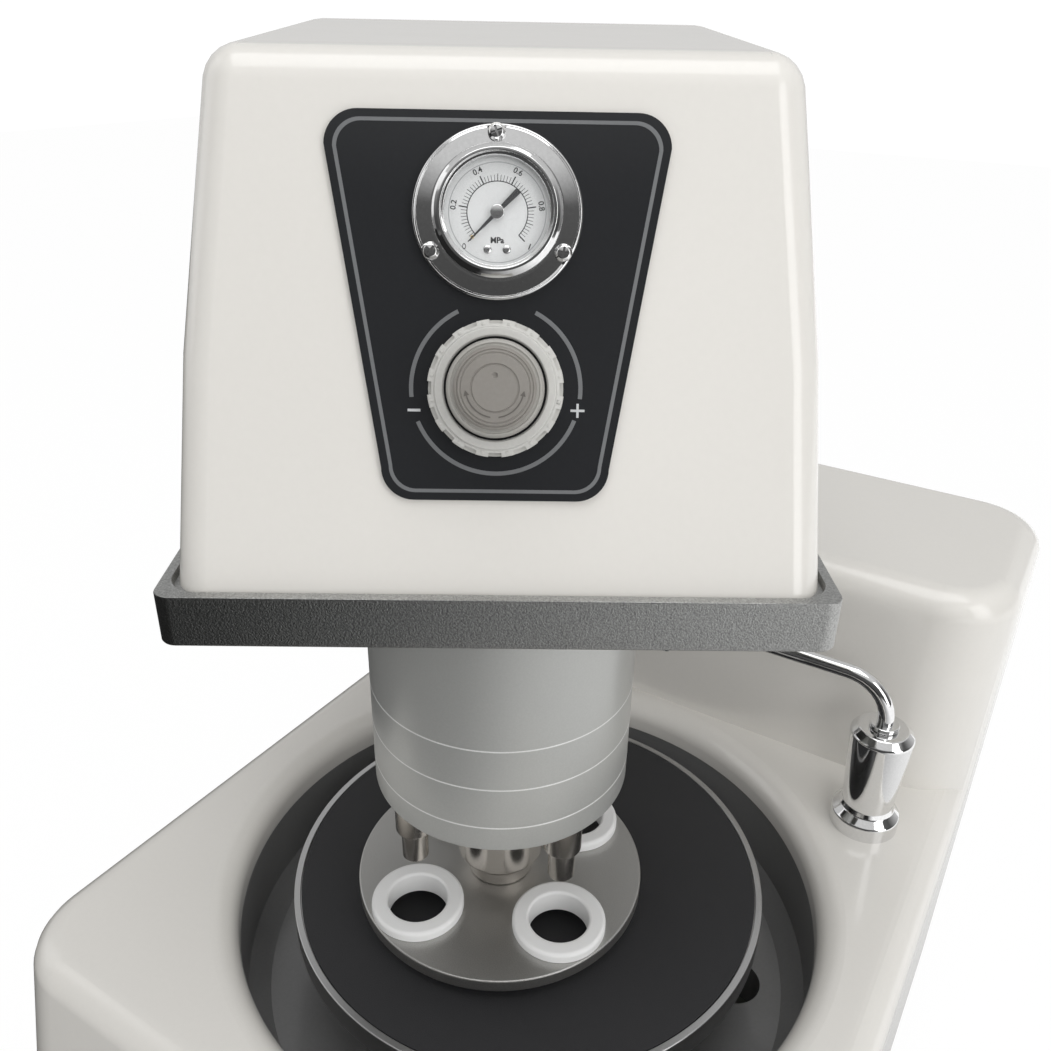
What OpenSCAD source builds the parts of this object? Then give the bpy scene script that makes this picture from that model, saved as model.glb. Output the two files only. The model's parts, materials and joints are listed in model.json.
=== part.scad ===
// Metallographic grinder-polisher with an automatic sample head.
// Units are millimetres. X points right, Y to the back, Z up, and the floor is at zero.
// The origin lies on the floor, in the middle of the footprint.

/* [Base] */
// Width of the base cabinet
base_w = 390; // [385:5:430]
// Depth of the base cabinet
base_d = 565; // [560:5:600]
// Height of the deck round the bowl
deck_z = 260; // [255:5:290]
// Height of the housing behind the deck
housing_h = 134; // [125:1:145]
// Wall thickness of the moulded base shell
shell_wall = 5; // [4:0.5:6]
// Radius of the upright corners of the base
base_corner_r = 42; // [36:1:46]
// Radius of the rounded edge round the deck
deck_edge_r = 16; // [12:1:18]
// How far the front wall leans back between floor and deck
front_set = 45; // [35:1:50]
// Distance from the platen axis back to the housing wall
housing_back = 172; // [170:1:178]
// Radius of each rubber foot
foot_r = 20; // [16:1:22]
// Height of each rubber foot
foot_h = 18; // [14:1:22]

/* [Bowl and platen] */
// Distance from the front edge of the base to the platen axis
platen_back = 237; // [234:1:242]
// Radius of the platen
platen_r = 127; // [120:1:130]
// Thickness of the platen
platen_t = 14; // [12:1:16]
// How far the platen top lies below the deck
platen_drop = 4; // [2:0.5:6]
// Thickness of the polishing disc
disc_pad_t = 1.5; // [1:0.1:2.5]
// Radius of the opening in the deck
bowl_open_r = 156; // [152:1:158]
// Radius of the soft lip of the deck opening
lip_r = 13; // [8:1:14]
// Wall thickness of the bowl
bowl_wall = 3; // [2.5:0.5:4]
// Outer radius of the drain pipe
drain_r = 20; // [17:1:21]

/* [Column and lift] */
// Distance from the drum axis back to the column axis
column_reach = 262; // [258:1:266]
// Outer radius of the fixed column tube
column_r = 28; // [26:1:30]
// Radius of the lifting ram
ram_r = 21; // [18:1:22]
// Stroke of the head lift
lift_stroke = 60; // [40:5:80]
// Radius of the column turret on the housing
turret_r = 41; // [39:1:43]

/* [Head] */
// Angle that the head is turned from the base, seen from above
head_turn = 32.5; // [28:0.5:36]
// Drum axis to the right of the platen axis
head_right = -6.8; // [-10:0.2:0]
// Drum axis behind the platen axis
head_back = -18; // [-22:0.5:-14]
// Height of the head plate's underside above the deck
head_rise = 215; // [210:1:230]
// Thickness of the head plate
plate_t = 20; // [16:1:24]
// Half the width of the head plate
plate_half_w = 119; // [116:1:122]
// Distance from the drum axis to the front of the head plate
plate_front = 101; // [98:1:106]
// Radius of the rounded tail of the head plate
tail_r = 45; // [42:1:46]
// Backward lean of the front face in degrees
face_lean = 20; // [16:0.5:22]
// Length of the front face up its slope
face_h = 179.5; // [174:0.5:186]
// Upward slope of the top towards the back, in degrees
top_slope = 3; // [1:0.5:5]
// Wall thickness of the head shell
hood_wall = 3.5; // [2.5:0.5:4.5]
// Radius of the rounded edges of the head shell
hood_r = 14; // [11:1:16]

/* [Gauge and regulator] */
// Height of the gauge centre up the front face
gauge_s = 127.7; // [125:0.5:130]
// Radius of the gauge flange
gauge_flange_r = 27.9; // [27:0.1:29]
// Height of the regulator centre up the front face
knob_s = 71; // [69:0.2:72]
// Radius of the regulator's ring nut
nut_r = 22.4; // [21.8:0.1:23]
// Pull of the regulator knob before it turns
knob_pull = 2.5; // [1:0.5:4]

/* [Drum and specimen holder] */
// Radius of the drum
drum_r = 62.5; // [62:0.5:64]
// Height of the upper section of the drum
upper_h = 77.5; // [75:0.5:80]
// Height of the cylinder block
block_h = 21.2; // [20:0.2:24]
// Height of the lower section of the drum
lower_h = 21.8; // [20:0.2:24]
// Height of the end cap of the drum
end_h = 13; // [12:0.5:14]
// Radius of the circle of specimen stations
station_r = 51; // [50:0.5:51]
// Number of specimen stations
stations = 4; // [4:1:4]
// Angle of the first station from the head's front
station_turn = -54.4; // [-60:0.2:-50]
// Radius of a pressure pin
pin_r = 6.5; // [5:0.1:7]
// Stroke of a pressure pin
pin_stroke = 22; // [15:1:24]
// Radius of the specimen hole
specimen_r = 15; // [12.5:0.5:15]
// Radius of the specimen holder disc
holder_r = 75; // [75:0.5:78]
// Thickness of the specimen holder disc
holder_t = 7; // [6:0.5:8]
// Clearance between the holder disc and the deck
holder_gap = 2.5; // [2:0.5:4]

/* [Faucet] */
// Faucet axis to the right of the platen axis
faucet_x = 148; // [144:1:154]
// Faucet axis behind the platen axis
faucet_back = 131; // [125:1:136]
// Height of the faucet body above the deck
faucet_h = 68; // [65:1:80]
// Reach of the spout
spout_reach = 132; // [120:1:140]

/* [Hidden] */
$fn = 96;
over = 1;
fit = 0.3;
run = 0.05;
round_fn = 32;
slice = 1;

y_front = -295;
y_rear = y_front + base_d;
platen_y = y_front + platen_back;
housing_z = deck_z + housing_h;
housing_y = platen_y + housing_back;
skirt_z = foot_h + 2;
pan_t = 4;
pan_gap = 1;
pan_z = foot_h + pan_t;
foot_inset = 46;
foot_taper = 3;

collar_w = 24;
collar_h = 20;
bowl_flange_t = 4;
bowl_depth = 57;
bowl_inset = 3;
bowl_floor_r = 145;
bowl_hub_r = 44;
bowl_hub_bore = 36;
bowl_hub_rise = 29;
bowl_floor_rise = 4;
bowl_flange_z = deck_z - collar_h;
bowl_floor_z = bowl_flange_z - bowl_depth + bowl_wall + bowl_flange_t;
drain_x = 112;
drain_back = 42;
drain_wall = 3;
drain_bead = 2.5;
drain_z = 75;
drain_bend = 40;
spigot_drop = 26;
fitting_reach = 25;
contact_w = 2;
contact_drop = 2;
rocker_wall = 1;
rocker_lean = 1;

drive_z = deck_z - 110;
drive_t = 6;
drive_half_w = 82;
drive_front = 80;
post_w = 18;
motor_back = 240;
drive_back = 68;
motor_r = 54;
motor_h = 150;
motor_shaft_r = 8;
pulley_z = drive_z - 50;
pulley_h = 22;
pulley_r = 53;
motor_pulley_r = 20;
pulley_rim = 3;
rim_h = 2.5;
belt_t = 4;
belt_slack = 0.3;

bearing_r = 26;
bearing_h = 15;
shaft_r = 12.45;
race_t = 4;
race_groove = 1;
seat_r = 33;
seat_flange_r = 48;
seat_flange_t = 8;
seat_top_drop = 9;
seat_neck_r = bowl_hub_bore - fit;
seat_drop = 22;

platen_top = deck_z - platen_drop;
platen_bottom = platen_top - platen_t;
platen_hub_h = 6;
platen_hub_r = 40;
platen_rim = 3.5;
pilot_r = 10;
pilot_h = 7;
spindle_top = platen_bottom - platen_hub_h;
slinger_r = 50;
slinger_t = 2;
shoulder_r = 18;
shoulder_drop = 15;

column_x = head_x(0, column_reach);
column_y = head_y(0, column_reach);
turret_z = housing_z + 8;
column_foot_r = 40;
column_foot_t = 8;
column_flange_r = 37;
column_flange_t = 6;
column_edge = 1;
column_top = turret_z + 28;
ram_bottom = deck_z - 110;
clamp_h = 24;
clamp_r = 36;
clamp_neck_r = 30;
ear_w = 14;
ear_d = 51;
ear_back = 43;
clamp_slit = 2;
lever_screw_r = 4;
lever_hub_r = 9;
lever_hub_w = 14;
lever_arm = 50;
lever_arm_r = 5;
lever_ball_r = 8;

plate_z = deck_z + head_rise;
plate_top = plate_z + plate_t;
pocket_d = 2.5;
pocket_z = plate_top - pocket_d;
hood_z = pocket_z + slice;
plate_corner_r = 6.5;
plate_side_back = 132;
rim_w = 4.4;
hood_gap = 0.8;
ram_top = pocket_z + 50;
hood_half_w = plate_half_w - rim_w - hood_gap;
hood_front = plate_front - rim_w - hood_gap;
hood_mid_s = 80;
hood_mid_half_w = 110.2;
hood_top_half_w = 101;
hood_back_half_w = 97;
hood_top_back = 122;
hood_tail_h = 88;
hood_tail_half_w = 78;
face_edge_angle = 90 + face_lean + top_slope;
face_tangent = hood_r / tan(face_edge_angle / 2);
face_x = -2;

fascia_t = 1.5;
fascia_r = 11;
fascia_top_s = 160;
fascia_bottom_s = 33.5;
fascia_top_w = 56.5;
fascia_bottom_w = 38.5;

gauge_case_r = 20;
gauge_bezel_r = 21.5;
gauge_window_r = 18.2;
gauge_depth = 26;
gauge_wall = 1.2;
gauge_stem_r = 5;
gauge_stem_l = 10;
gauge_bezel_h = 4.6;
bezel_edge = 1.4;
lens_drop = 0.9;
screw_crown = 0.9;
screw_edge = 0.3;
flange_t = 2.8;
flange_edge = 1.2;
screw_pcd_r = 25;
screw_head_r = 3;
screw_head_h = 1.8;
screw_r = 1.5;
dial_t = 0.8;
dial_seat = 2.8;
needle_pin_r = 0.8;
needle_hub_r = 2.5;
needle_hub_h = 1.6;
needle_lift = 0.5;
needle_l = 13.5;
needle_tail = 6.5;
needle_tail_w = 2.6;
needle_w = 1.3;
needle_t = 0.6;
needle_rest = 225;
lens_t = 1.2;

barrel_r = 16.8;
regulator_depth = 36;
nut_h = 10.5;
nut_cover_share = 0.75;
nut_notches = 16;
notch_w = 4.6;
notch_d = 1.6;
notch_h = 5;
knob_r = 16;
knob_top_r = 11.4;
knob_h = 10.1;
barrel_lap = 2;
barrel_step = 1;
nut_edge = 1.6;
nut_lip = 0.6;
knob_step = 2;
knob_taper = 0.6;
stem_r = 4.95;
stem_bore = stem_r + run;

carrier_r = 39.5;
carrier_flange_r = 50;
carrier_flange_t = 6;
head_bearing_r = 23.5;
head_bearing_h = 11;
carrier_lip = 2;
head_pulley_r = 28;
head_pulley_h = 12;
head_motor_back = 80;
head_motor_r = 36;
head_motor_h = 92;
head_motor_pulley_r = 14;
motor_leg = 9;
head_shaft_r = 5;
head_belt_t = 3;
bridge_t = 6;
bridge_gap = 6;

drum_gap = 1;
drum_top = plate_z - drum_gap;
seam_1 = drum_top - upper_h;
seam_2 = seam_1 - block_h;
seam_3 = seam_2 - lower_h;
drum_bottom = seam_3 - end_h;
drum_wall = 5;
drum_roof = 8;
seam_chamfer = 0.6;
spindle_flange_r = 30;
spindle_flange_t = 8;
shaft_end = 2;
piston_r = 9;
piston_h = 9;
piston_rest = 9;
guide_drop = 18;
hub_r = 17;
hub_collar_r = 22.5;
hub_foot_h = 7.5;
hub_flare_h = 6;
hub_core_r = 6;
pin_lift = 45;
holder_bottom = deck_z + holder_gap;
holder_top = holder_bottom + holder_t;
pin_bottom = deck_z + pin_lift;
holder_chamfer = 0.8;
bush_r = 19;
bush_flange_r = 23.3;
bush_flange_h = 5.5;
bush_edge = 1.2;

faucet_r = 17.5;
faucet_foot_r = 19;
faucet_foot_h = 15;
faucet_shank_r = 12;
faucet_shank_l = 34;
faucet_nut_r = 16.5;
faucet_nut_h = 8;
faucet_cap = 4;
faucet_waist_r = 14;
faucet_shoulder_h = 6;
faucet_edge = 1;
spout_r = 4.5;
spout_rise = 1;
spout_bend = 24;
spout_drop = 9;
spout_nut_r = 8;
spout_nut_h = 3;
spout_pin_r = 5.5;
spout_pin_l = 12;
spout_turn = 180;

console_half_w = 140;
console_half_h = 56;
console_t = 3;
console_s = 122;
console_r = 10;
screen_x = -34;
screen_w = 150;
screen_h = 90;
screen_depth = 20;
screen_rim = 5;
stop_x = 98;
stop_body_r = 11;
stop_collar_r = 19;
stop_collar_h = 3;
stop_edge = 1;
stop_gap = 1;
stop_crown = 3;
stop_r = 17;
stop_h = 10;
stop_neck_r = 8;
stop_plunger_r = 5;
stop_travel = 4;
stop_depth = 34;
console_z = skirt_z + slice;
console_rise = deck_z - deck_edge_r - console_z;
console_lean = atan2(front_set + deck_edge_r, console_rise)
    - asin(deck_edge_r / norm([front_set + deck_edge_r, console_rise]));

panel_half_w = 150;
panel_low = 44;
panel_high = 366;
panel_t = 2;
vent_rows = 9;
vent_step = 13;
vent_w = 90;
vent_h = 5;
vent_x = -60;
vent_z = 205;
inlet_x = -105;
inlet_z = 82;
inlet_w = 28;
inlet_h = 50;
inlet_rim = 5;
inlet_t = 3;
inlet_depth = 26;
socket_w = 22;
socket_h = 16;
socket_depth = 16;
socket_drop = 11;
rocker_w = 20;
rocker_half = 9;
rocker_rise = 11.5;
rocker_face = 3.2;
rocker_root = 5;
rocker_pivot_r = 1.5;
water_x = 42;
air_x = -18;
fitting_z = 82;
water_r = 10.3;
water_nut_r = 15;
air_r = 6.5;
air_nut_r = 9;
fitting_nut_h = 5;
water_bore = 7;
air_bore = 4;
valve_w = 34;
valve_l = 46;

// Places of the head frame's points in the base's frame
function head_x(x, y) = head_right + x * cos(head_turn) - y * sin(head_turn);
function head_y(x, y) = platen_y + head_back + x * sin(head_turn) + y * cos(head_turn);
function station_angle(i) = station_turn + i * 360 / stations - 90;

module at_platen() translate([0, platen_y, 0]) children();
module at_column() translate([column_x, column_y, 0]) children();
module at_head() translate([head_x(0, 0), head_y(0, 0), 0]) rotate([0, 0, head_turn]) children();
module on_face(s) at_head() translate([face_x, -hood_front, hood_z])
    rotate([90 - face_lean, 0, 0]) translate([0, s, 0]) children();
module on_console(x) translate([0, y_front, console_z]) rotate([90 - console_lean, 0, 0])
    translate([x, console_s, 0]) children();
module on_rear(x, z) translate([x, y_rear, z]) rotate([90, 0, 180]) children();
module at_stations() for (i = [0:stations - 1]) at_station(i) children();
module at_station(i) at_head() rotate([0, 0, station_angle(i)]) translate([station_r, 0, 0]) children();

module tube(outer, inner, z0, z1) translate([0, 0, z0]) difference() {
    cylinder(r = outer, h = z1 - z0);
    translate([0, 0, -over]) cylinder(r = inner, h = z1 - z0 + 2 * over);
}
module rod(r, z0, z1) translate([0, 0, z0]) cylinder(r = r, h = z1 - z0);
module bar(x0, x1, y0, y1, z0, z1) translate([x0, y0, z0]) cube([x1 - x0, y1 - y0, z1 - z0]);
module rounded_plate(half_w, half_h, r, t) linear_extrude(t) {
    square([2 * half_w, 2 * (half_h - r)], center = true);
    square([2 * (half_w - r), 2 * half_h], center = true);
    for (x = [-1, 1], y = [-1, 1]) translate([x * (half_w - r), y * (half_h - r)]) circle(r);
}

// A disc whose top edge is rounded
module soft_disc(r, edge) rotate_extrude($fn = round_fn) {
    square([r - edge, edge]);
    translate([r - edge, 0]) intersection() {
        circle(edge);
        square(edge);
    }
}

// A block with upright round corners and a rounded top edge, leaning back at the front
module soft_block(half_w, y0, y1, z0, z1, r, edge, set) hull() {
    for (x = [-1, 1]) {
        translate([x * (half_w - r), y0 + r, z0]) cylinder(r = r, h = slice, $fn = round_fn);
        translate([x * (half_w - r), y1 - r, z0]) cylinder(r = r, h = slice, $fn = round_fn);
        translate([x * (half_w - r), y0 + r + set, z1 - edge]) soft_disc(r, edge);
        translate([x * (half_w - r), y1 - r, z1 - edge]) soft_disc(r, edge);
    }
}

// A flat belt round two pulleys, the first at the origin and the second back along Y
module belt_outline(r1, r2, gap) {
    lean = asin((r1 - r2) / gap);
    circle(r1);
    translate([0, gap]) circle(r2);
    polygon([for (p = [[r1, 0, -1], [r1, 0, 1], [r2, gap, 1], [r2, gap, -1]])
        [p[2] * p[0] * cos(lean), p[1] + p[0] * sin(lean)]]);
}
module flat_belt(r1, r2, gap, t, z0, z1) translate([0, 0, z0]) linear_extrude(z1 - z0) difference() {
    belt_outline(r1 + t, r2 + t, gap);
    belt_outline(r1, r2, gap);
}
module pulley(r, bore, z0, h) translate([0, 0, z0]) rotate_extrude()
    polygon([[bore, 0], [r + pulley_rim, 0], [r + pulley_rim, rim_h], [r, rim_h], [r, h - rim_h],
        [r + pulley_rim, h - rim_h], [r + pulley_rim, h], [bore, h]]);
module bearing(outer, inner, z0, h) translate([0, 0, z0]) rotate_extrude()
    polygon([[inner, 0], [inner + race_t, 0], [inner + race_t, race_groove],
        [outer - race_t, race_groove], [outer - race_t, 0], [outer, 0], [outer, h],
        [outer - race_t, h], [outer - race_t, h - race_groove], [inner + race_t, h - race_groove],
        [inner + race_t, h], [inner, h]]);

module rubber_feet() color("#1c1c1e")
    for (x = [-1, 1], y = [y_front + foot_inset, y_rear - foot_inset])
        translate([x * (base_w / 2 - foot_inset), y, 0])
            cylinder(r1 = foot_r - foot_taper, r2 = foot_r, h = foot_h);

module base_pan() color("#9a9c9e") {
    depth = base_d - 2 * (shell_wall + pan_gap);
    translate([0, y_front + base_d / 2, foot_h])
        rounded_plate(base_w / 2 - shell_wall - fit, depth / 2, base_corner_r - shell_wall - fit, pan_t);
}

module base_shell() color("#eceae6") difference() {
    union() {
        difference() {
            union() {
                soft_block(base_w / 2, y_front, y_rear, skirt_z, deck_z, base_corner_r, deck_edge_r,
                    front_set);
                soft_block(base_w / 2, housing_y, y_rear, deck_z - deck_edge_r - shell_wall, housing_z,
                    base_corner_r, deck_edge_r, 0);
                at_column() rod(turret_r, deck_z - shell_wall, turret_z);
            }
            soft_block(base_w / 2 - shell_wall, y_front + shell_wall, y_rear - shell_wall,
                skirt_z - over, deck_z - shell_wall, base_corner_r - shell_wall,
                deck_edge_r - shell_wall, front_set);
            soft_block(base_w / 2 - shell_wall, housing_y + shell_wall, y_rear - shell_wall,
                deck_z - deck_edge_r - 2 * shell_wall, housing_z - shell_wall,
                base_corner_r - shell_wall, deck_edge_r - shell_wall, 0);
            at_column() rod(turret_r - shell_wall, deck_z - 2 * shell_wall, turret_z - shell_wall);
        }
        at_platen() tube(bowl_open_r + collar_w, bowl_open_r, deck_z - collar_h, deck_z);
    }
    at_platen() rod(bowl_open_r, deck_z - collar_h - over, deck_z + over);
    at_platen() translate([0, 0, deck_z - lip_r]) rotate_extrude() difference() {
        translate([bowl_open_r - over, 0]) square([lip_r + over, lip_r + over]);
        translate([bowl_open_r + lip_r, 0]) circle(lip_r);
    }
    at_column() rod(column_r + fit, deck_z, turret_z + over);
    translate([faucet_x, platen_y + faucet_back, 0])
        rod(faucet_shank_r + fit, deck_z - collar_h, deck_z + over);
    on_console(screen_x) bar(-screen_w / 2 - fit, screen_w / 2 + fit, -screen_h / 2 - fit,
        screen_h / 2 + fit, -2 * shell_wall, over);
    on_console(stop_x) rod(stop_body_r + fit, -2 * shell_wall, over);
    bar(-panel_half_w + shell_wall, panel_half_w - shell_wall, y_rear - 2 * shell_wall,
        y_rear + over, panel_low + shell_wall, panel_high - shell_wall);
}

module bowl() color("#8c8f91") at_platen() difference() {
    union() {
        rotate_extrude() polygon([
            [bowl_open_r + bowl_inset, bowl_flange_z], [bowl_open_r + collar_w, bowl_flange_z],
            [bowl_open_r + collar_w, bowl_flange_z - bowl_flange_t],
            [bowl_open_r + bowl_inset + bowl_wall, bowl_flange_z - bowl_flange_t],
            [bowl_open_r + bowl_wall, bowl_floor_z + 4 * bowl_wall],
            [bowl_floor_r + bowl_wall / 2, bowl_floor_z - bowl_wall / 2],
            [bowl_hub_r + 5 * bowl_wall, bowl_floor_z - bowl_floor_rise - bowl_wall],
            [bowl_hub_r, bowl_floor_z], [bowl_hub_r - bowl_wall, bowl_floor_z + bowl_hub_rise - 3 * bowl_wall],
            [bowl_hub_bore, bowl_floor_z + bowl_hub_rise - 3 * bowl_wall],
            [bowl_hub_bore, bowl_floor_z + bowl_hub_rise - 2 * bowl_wall],
            [bowl_hub_r, bowl_floor_z + bowl_hub_rise - 2 * bowl_wall],
            [bowl_hub_r + bowl_wall, bowl_floor_z], [bowl_hub_r + 5 * bowl_wall, bowl_floor_z - bowl_floor_rise],
            [bowl_floor_r, bowl_floor_z + bowl_wall], [bowl_open_r, bowl_floor_z + 4 * bowl_wall]]);
        translate([drain_x, drain_back, 0])
            rod(drain_r - drain_wall - fit, bowl_floor_z - spigot_drop, bowl_floor_z - bowl_wall / 2);
    }
    translate([drain_x, drain_back, 0])
        rod(drain_r - 2 * drain_wall, bowl_floor_z - spigot_drop - over, bowl_floor_z + 2 * bowl_wall);
}

// The pipe runs down from the bowl's spigot, then back and out through the rear panel
module drain_run(r, ends) {
    top_z = bowl_floor_z - 2 * bowl_wall - bowl_floor_rise + ends;
    translate([drain_x, platen_y + drain_back, 0]) {
        rod(r, drain_z + drain_bend, top_z);
        translate([0, drain_bend, drain_z + drain_bend]) rotate([0, 90, 0])
            rotate([0, 0, -90]) rotate_extrude(angle = 90) translate([drain_bend, 0]) circle(r);
    }
    translate([drain_x, platen_y + drain_back + drain_bend, drain_z]) rotate([-90, 0, 0])
        cylinder(r = r, h = y_rear + fitting_reach - platen_y - drain_back - drain_bend + ends);
}
module drain_pipe() color("#dcdcd8") difference() {
    union() {
        drain_run(drain_r, 0);
        on_rear(drain_x, drain_z)
            rod(drain_r + drain_bead, panel_t + fit, panel_t + fit + drain_wall);
    }
    drain_run(drain_r - drain_wall, over);
}

module drive_frame() color("#b4b6b8") difference() {
    union() {
        bar(-drive_half_w, drive_half_w, platen_y - drive_front,
            platen_y + motor_back + drive_back, drive_z, drive_z + drive_t);
        for (x = [-1, 1], y = [platen_y - drive_front + post_w, platen_y + motor_back + drive_back - post_w])
            translate([x * (drive_half_w - post_w / 2), y, (pan_z + drive_z) / 2])
                cube([post_w, post_w, drive_z - pan_z], center = true);
    }
    at_platen() rod(seat_r + fit, drive_z - over, drive_z + drive_t + over);
    translate([0, platen_y + motor_back, 0])
        rod(motor_pulley_r + 2 * pulley_rim, drive_z - over, drive_z + drive_t + over);
}

module spindle_housing() color("#a4a7aa") at_platen() rotate_extrude() polygon([
    [bearing_r, drive_z - seat_drop], [seat_r, drive_z - seat_drop], [seat_r, drive_z + drive_t],
    [seat_flange_r, drive_z + drive_t], [seat_flange_r, drive_z + drive_t + seat_flange_t],
    [seat_neck_r, drive_z + drive_t + seat_flange_t], [seat_neck_r, spindle_top - seat_top_drop],
    [bearing_r, spindle_top - seat_top_drop],
    [bearing_r, spindle_top - shoulder_drop - bearing_h],
    [shoulder_r, spindle_top - shoulder_drop - bearing_h],
    [shoulder_r, drive_z - seat_drop + bearing_h + pulley_rim],
    [bearing_r, drive_z - seat_drop + bearing_h + pulley_rim]]);

module spindle_bearings() color("#c8cacc") at_platen() {
    bearing(bearing_r, shaft_r + run, drive_z - seat_drop + pulley_rim, bearing_h);
    bearing(bearing_r, shaft_r + run, spindle_top - shoulder_drop - bearing_h, bearing_h);
}

module platen_spindle() color("#b8babc") at_platen() rotate_extrude() polygon([
    [0, pulley_z - pulley_rim], [shaft_r, pulley_z - pulley_rim], [shaft_r, spindle_top - shoulder_drop + fit],
    [shoulder_r - pulley_rim, spindle_top - shoulder_drop + fit],
    [shoulder_r - pulley_rim, spindle_top - 3 * slinger_t], [slinger_r, spindle_top - 3 * slinger_t],
    [slinger_r, spindle_top - 2 * slinger_t], [platen_hub_r, spindle_top], [pilot_r, spindle_top],
    [pilot_r, spindle_top + pilot_h], [0, spindle_top + pilot_h]]);

module driven_pulley() color("#8f9294") at_platen()
    pulley(pulley_r, shaft_r + run, pulley_z, pulley_h);

module platen() color("#6f7274") at_platen() difference() {
    union() {
        rod(platen_r, platen_bottom, platen_top);
        rod(platen_hub_r, spindle_top, platen_bottom);
    }
    rod(platen_r - platen_rim, platen_top - disc_pad_t, platen_top + over);
    rod(pilot_r + run, spindle_top - over, spindle_top + pilot_h + over);
}

module polishing_disc() color("#17181a") at_platen()
    rod(platen_r - platen_rim - fit, platen_top - disc_pad_t, platen_top);

module platen_motor() color("#3c4044") translate([0, platen_y + motor_back, 0]) difference() {
    union() {
        rod(motor_r, drive_z + drive_t, drive_z + drive_t + motor_h);
        translate([0, 0, drive_z + drive_t]) rounded_plate(motor_r + pulley_rim, motor_r + pulley_rim,
            seat_flange_t, seat_flange_t);
    }
    rod(motor_shaft_r + run, drive_z + drive_t - over, drive_z + drive_t + motor_h / 3);
}

module motor_pulley() color("#9a9da0") translate([0, platen_y + motor_back, 0]) {
    pulley(motor_pulley_r, 0, pulley_z, pulley_h);
    rod(motor_shaft_r, pulley_z + pulley_h / 2, drive_z + drive_t + motor_h / 3 - over);
}

module platen_belt() color("#202224") at_platen()
    flat_belt(pulley_r + belt_slack, motor_pulley_r + belt_slack, motor_back, belt_t,
        pulley_z + rim_h + fit, pulley_z + pulley_h - rim_h - fit);

module rear_panel() color("#d0d2d2") difference() {
    translate([0, y_rear, (panel_low + panel_high) / 2]) rotate([90, 0, 180])
        rounded_plate(panel_half_w, (panel_high - panel_low) / 2, console_r, panel_t);
    on_rear(drain_x, drain_z) rod(drain_r + fit, -over, panel_t + over);
    on_rear(inlet_x, inlet_z) bar(-inlet_w / 2 - fit, inlet_w / 2 + fit, -inlet_h / 2 - fit,
        inlet_h / 2 + fit, -over, panel_t + over);
    on_rear(water_x, fitting_z) rod(water_r + fit, -over, panel_t + over);
    on_rear(air_x, fitting_z) rod(air_r + fit, -over, panel_t + over);
    for (i = [0:vent_rows - 1], x = [vent_x, -vent_x])
        on_rear(x, vent_z + i * vent_step)
            bar(-vent_w / 2, vent_w / 2, -vent_h / 2, vent_h / 2, -over, panel_t + over);
}

// The mains inlet has its socket below and the rocker's opening above
module power_inlet() color("#1b1c1e") on_rear(inlet_x, inlet_z) difference() {
    union() {
        bar(-inlet_w / 2, inlet_w / 2, -inlet_h / 2, inlet_h / 2, -inlet_depth, panel_t + fit);
        translate([0, 0, panel_t])
            rounded_plate(inlet_w / 2 + inlet_rim, inlet_h / 2 + inlet_rim, inlet_rim, inlet_t);
    }
    translate([0, -socket_drop, 0]) difference() {
        bar(-socket_w / 2, socket_w / 2, -socket_h / 2, socket_h / 2,
            panel_t + inlet_t - socket_depth, panel_t + inlet_t + over);
        for (x = [-1, 0, 1])
            translate([x * socket_w / 4, -abs(x) * contact_drop, 0])
                bar(-contact_w / 2, contact_w / 2, -contact_w / 2, contact_w, -inlet_depth, -panel_t);
    }
    translate([0, rocker_rise, 0]) bar(-rocker_w / 2 - fit, rocker_w / 2 + fit,
        -rocker_half - rocker_face / 2, rocker_half + rocker_face / 2, panel_t - 2 * rocker_root,
        panel_t + inlet_t + over);
    translate([0, rocker_rise, panel_t]) rotate([0, 90, 0])
        cylinder(r = rocker_pivot_r + run, h = inlet_w - 2 * rocker_wall, center = true);
}

module power_rocker() color("#b3261e")
    on_rear(inlet_x, inlet_z) translate([0, rocker_rise, panel_t]) {
        translate([-rocker_w / 2, 0, 0]) rotate([90, 0, 90]) linear_extrude(rocker_w)
            polygon([[-rocker_half + rocker_lean, -rocker_root], [rocker_half - rocker_lean, -rocker_root],
                [rocker_half, inlet_t + rocker_face / 2], [0, inlet_t + rocker_face / 3],
                [-rocker_half, inlet_t + rocker_face]]);
        rotate([0, 90, 0]) cylinder(r = rocker_pivot_r, h = inlet_w - 2 * rocker_wall - 2 * fit, center = true);
    }

// A water valve with its threaded stub, and a push-in air coupling
module rear_fittings() color("#c9b27a") {
    on_rear(water_x, fitting_z) difference() {
        union() {
            rod(water_r, -over, fitting_reach);
            translate([0, 0, panel_t]) cylinder(r = water_nut_r, h = fitting_nut_h, $fn = 6);
            bar(-valve_w / 2, valve_w / 2, -valve_w / 2, valve_w / 2, -valve_l, -fit);
        }
        rod(water_bore, -valve_l / 2, fitting_reach + over);
    }
    on_rear(air_x, fitting_z) difference() {
        union() {
            rod(air_r, -valve_w, fitting_reach - fitting_nut_h);
            translate([0, 0, panel_t]) cylinder(r = air_nut_r, h = fitting_nut_h, $fn = 6);
            rod(air_nut_r, -fitting_nut_h - fit, -fit);
        }
        rod(air_bore, -valve_w / 2, fitting_reach + over);
    }
}

module control_panel() color("#2b2d31") difference() {
    on_console(0) rounded_plate(console_half_w, console_half_h, console_r, console_t);
    on_console(screen_x) bar(-screen_w / 2 - fit, screen_w / 2 + fit, -screen_h / 2 - fit,
        screen_h / 2 + fit, -over, console_t + over);
    on_console(stop_x) rod(stop_body_r + fit, -over, console_t + over);
}

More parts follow.
